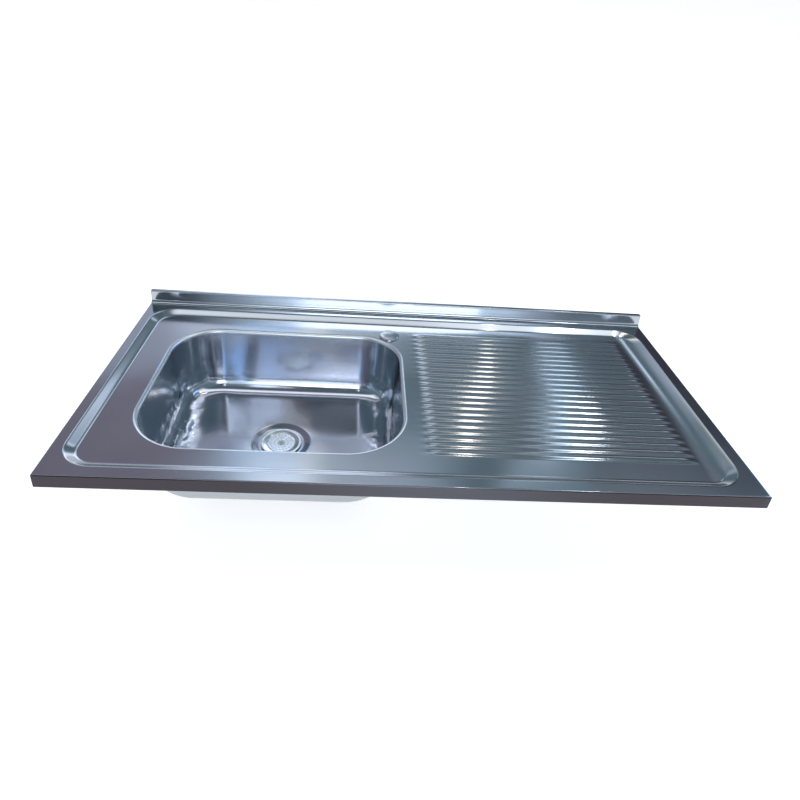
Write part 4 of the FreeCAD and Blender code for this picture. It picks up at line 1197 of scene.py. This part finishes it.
# Lamps: a wide and a narrow strip that hang behind the right end of the drainer, run from front to
# rear and draw the bright columns on its ribs, a small lamp aimed at its rear, and a panel that lights
# the sink from behind the camera. The camera sees none of them.
# Each has its place, what it faces, its width and length, its brightness and its colour.
LAMPS = {
    "drainer_strip_wide": ((0.87, 0.73, 1.5), (0.87, 0.73, 0.0), 0.15, 0.64, 2.2, "#CFEAFF"),
    "drainer_strip_narrow": ((0.54, 0.91, 2.0), (0.54, 0.91, 0.0), 0.06, 0.58, 9.0, "#FFF0E0"),
    "drainer_spot": ((0.92, 0.57, 1.48), (0.4, 0.5, 0.0), 0.09, 0.09, 20.0, "#FFFFFF"),
    "front_panel": ((-0.05, -3.0, 1.8), (-0.05, 0.5, 0.0), 1.1, 0.9, 3.5, "#F2F6FF"),
}

for name, (place, aim, width, length, brightness, colour) in LAMPS.items():
    lamp = bpy.data.lights.new(name, "AREA")
    lamp.shape = "RECTANGLE"
    lamp.size = width
    lamp.size_y = length
    lamp.energy = brightness * math.pi * width * length
    lamp.color = linear(colour)[:3]
    holder = bpy.data.objects.new(name, lamp)
    towards = (Vector(aim) - Vector(place)).to_track_quat("-Z", "Y")
    holder.matrix_world = Matrix.Translation(place) @ towards.to_matrix().to_4x4()
    holder.visible_camera = False
    scene.collection.objects.link(holder)


# Room: white at its floor and grey-blue above. What the steel mirrors of it is painted on in soft
# patches, some lighter and some darker than the walls, and each later one covers those before it.
# A patch has its middle across (X) and up (Z) as parts of a unit direction, its half sizes, how
# soft its edge is, its brightness and its colour.
ROOM_TINTS = (
    (0.0, "#FFFFFF"), (0.09, "#F4F8FC"), (0.2, "#A0AEB8"), (0.34, "#6E848E"), (0.7, "#6E848E"),
    (0.85, "#64767F"), (1.0, "#6E7880"),
)
REAR_PATCHES = {
    "mauve wall that the left land mirrors": (-0.40, 0.56, 0.24, 0.30, 0.5, 0.31, "#F0E6FF"),
    "rear end of the left land": (-0.31, 0.44, 0.09, 0.06, 0.5, 0.80, "#DCE6FF"),
    "dark behind the right end": (0.47, 0.43, 0.11, 0.16, 0.45, 0.08, "#E8E4FF"),
    "front right corner": (0.48, 0.66, 0.10, 0.05, 0.5, 0.36, "#E0EAFF"),
    "dark behind the middle": (0.29, 0.46, 0.05, 0.05, 0.5, 0.12, "#D8ECF4"),
    "sheet in front of the bowl": (-0.02, 0.67, 0.18, 0.045, 0.5, 0.85, "#DCEBFF"),
    "waste and the land before it": (-0.11, 0.69, 0.05, 0.03, 0.6, 2.4, "#E4F2FF"),
    "middle of the bowl's rear wall": (0.0, 0.77, 0.05, 0.04, 0.6, 1.9, "#F4F2EC"),
    "window low on the left": (-0.09, 0.32, 0.15, 0.13, 0.45, 2.4, "#E4EEFF"),
    "blue window": (-0.14, 0.55, 0.05, 0.05, 0.4, 3.0, "#A9CFFF"),
    "warm bar beside the blue window": (-0.065, 0.55, 0.02, 0.05, 0.4, 2.6, "#FFEFD8"),
    "blue bar beside the warm one": (-0.015, 0.545, 0.02, 0.04, 0.5, 0.7, "#B9D6FF"),
    "blue window far right": (0.74, 0.46, 0.10, 0.14, 0.5, 3.0, "#A9CFFF"),
    "pale veil high up": (0.16, 0.84, 0.07, 0.06, 0.9, 0.9, "#D8E8F4"),
    "left step of the recess": (0.306, 0.575, 0.022, 0.05, 0.5, 2.0, "#DDEBFF"),
    "second column on the ribs": (0.345, 0.60, 0.02, 0.06, 0.8, 0.5, "#CFEAFF"),
}
FRONT_PATCHES = {
    "dark left part of the upstand": (-0.42, 0.26, 0.20, 0.14, 0.8, 0.05, "#E8F0FF"),
    "window in the middle of the upstand": (0.06, 0.46, 0.24, 0.14, 0.3, 3.0, "#E0EEFF"),
    "right part of the upstand": (0.44, 0.26, 0.14, 0.14, 0.8, 0.7, "#E0EEFF"),
    "dark over the bowl's floor": (-0.03, 0.74, 0.10, 0.07, 0.6, 0.10, "#E0E4F0"),
    "cool streak in the bowl": (-0.15, 0.74, 0.012, 0.07, 0.8, 4.0, "#E4EEFF"),
    "warm streak in the bowl": (-0.10, 0.78, 0.008, 0.04, 0.8, 2.4, "#FFF4E8"),
}
# Pale band of ceiling overhead, which the bevel along the wall side mirrors: for each of its three
# edges, the part of the direction, where it begins and where it has its full strength.
CEILING_EDGES = (("Y", -0.24, -0.14), ("Z", 0.5, 0.75), ("Y", 0.09, 0.03))
CEILING_TINT = "#EFF4FA"
CEILING_BRIGHTNESS = 2.0


def brightened(hex_colour, brightness):
    return tuple(part * brightness for part in linear(hex_colour)[:3]) + (1.0,)


def add_room():
    world = bpy.data.worlds.new("studio")
    world.use_nodes = True
    scene.world = world
    tree = world.node_tree
    tree.nodes.clear()
    direction = add_node(tree, "ShaderNodeTexCoord").outputs["Generated"]
    parts = add_node(tree, "ShaderNodeSeparateXYZ", {"Vector": direction}).outputs
    colour = add_node(tree, "ShaderNodeValToRGB", {"Fac": parts["Z"]})
    stops = colour.color_ramp.elements
    stops.remove(stops[1])
    stops[0].position, stops[0].color = ROOM_TINTS[0][0], linear(ROOM_TINTS[0][1])
    for position, tint in ROOM_TINTS[1:]:
        stops.new(position).color = linear(tint)
    for side, patches in ((1.0, REAR_PATCHES), (-1.0, FRONT_PATCHES)):
        facing = add_node(tree, "ShaderNodeMath", {0: parts["Y"], 1: side}, operation="MULTIPLY")
        facing = add_node(tree, "ShaderNodeMath", {0: facing, 1: 0.0}, operation="GREATER_THAN")
        for across, up, half_across, half_up, softness, brightness, tint in patches.values():
            reach = add_node(tree, "ShaderNodeVectorMath", {
                0: direction, 1: (across, 0, up),
            }, operation="SUBTRACT")
            reach = add_node(tree, "ShaderNodeVectorMath", {0: reach}, operation="ABSOLUTE")
            reach = add_node(tree, "ShaderNodeVectorMath", {
                0: reach, 1: (half_across, 1, half_up),
            }, operation="DIVIDE")
            reach = add_node(tree, "ShaderNodeSeparateXYZ", {"Vector": reach}).outputs
            longer = add_node(tree, "ShaderNodeMath", {0: reach["X"], 1: reach["Z"]}, operation="MAXIMUM")
            share = add_node(tree, "ShaderNodeMapRange", {
                "Value": longer, "From Min": 1 + softness, "From Max": 1 - softness,
            }, interpolation_type="SMOOTHSTEP")
            share = add_node(tree, "ShaderNodeMath", {0: share, 1: facing}, operation="MULTIPLY")
            colour = add_node(tree, "ShaderNodeMix", {
                0: share, 6: colour, 7: brightened(tint, brightness),
            }, data_type="RGBA")
    share = 1.0
    for part, begin, full in CEILING_EDGES:
        edge = add_node(tree, "ShaderNodeMapRange", {
            "Value": parts[part], "From Min": begin, "From Max": full,
        }, interpolation_type="SMOOTHSTEP")
        share = add_node(tree, "ShaderNodeMath", {0: edge, 1: share}, operation="MULTIPLY")
    colour = add_node(tree, "ShaderNodeMix", {
        0: share, 6: colour, 7: brightened(CEILING_TINT, CEILING_BRIGHTNESS),
    }, data_type="RGBA")
    glow = add_node(tree, "ShaderNodeBackground", {"Color": colour, "Strength": 1.0})
    add_node(tree, "ShaderNodeOutputWorld", {"Surface": glow})


add_room()
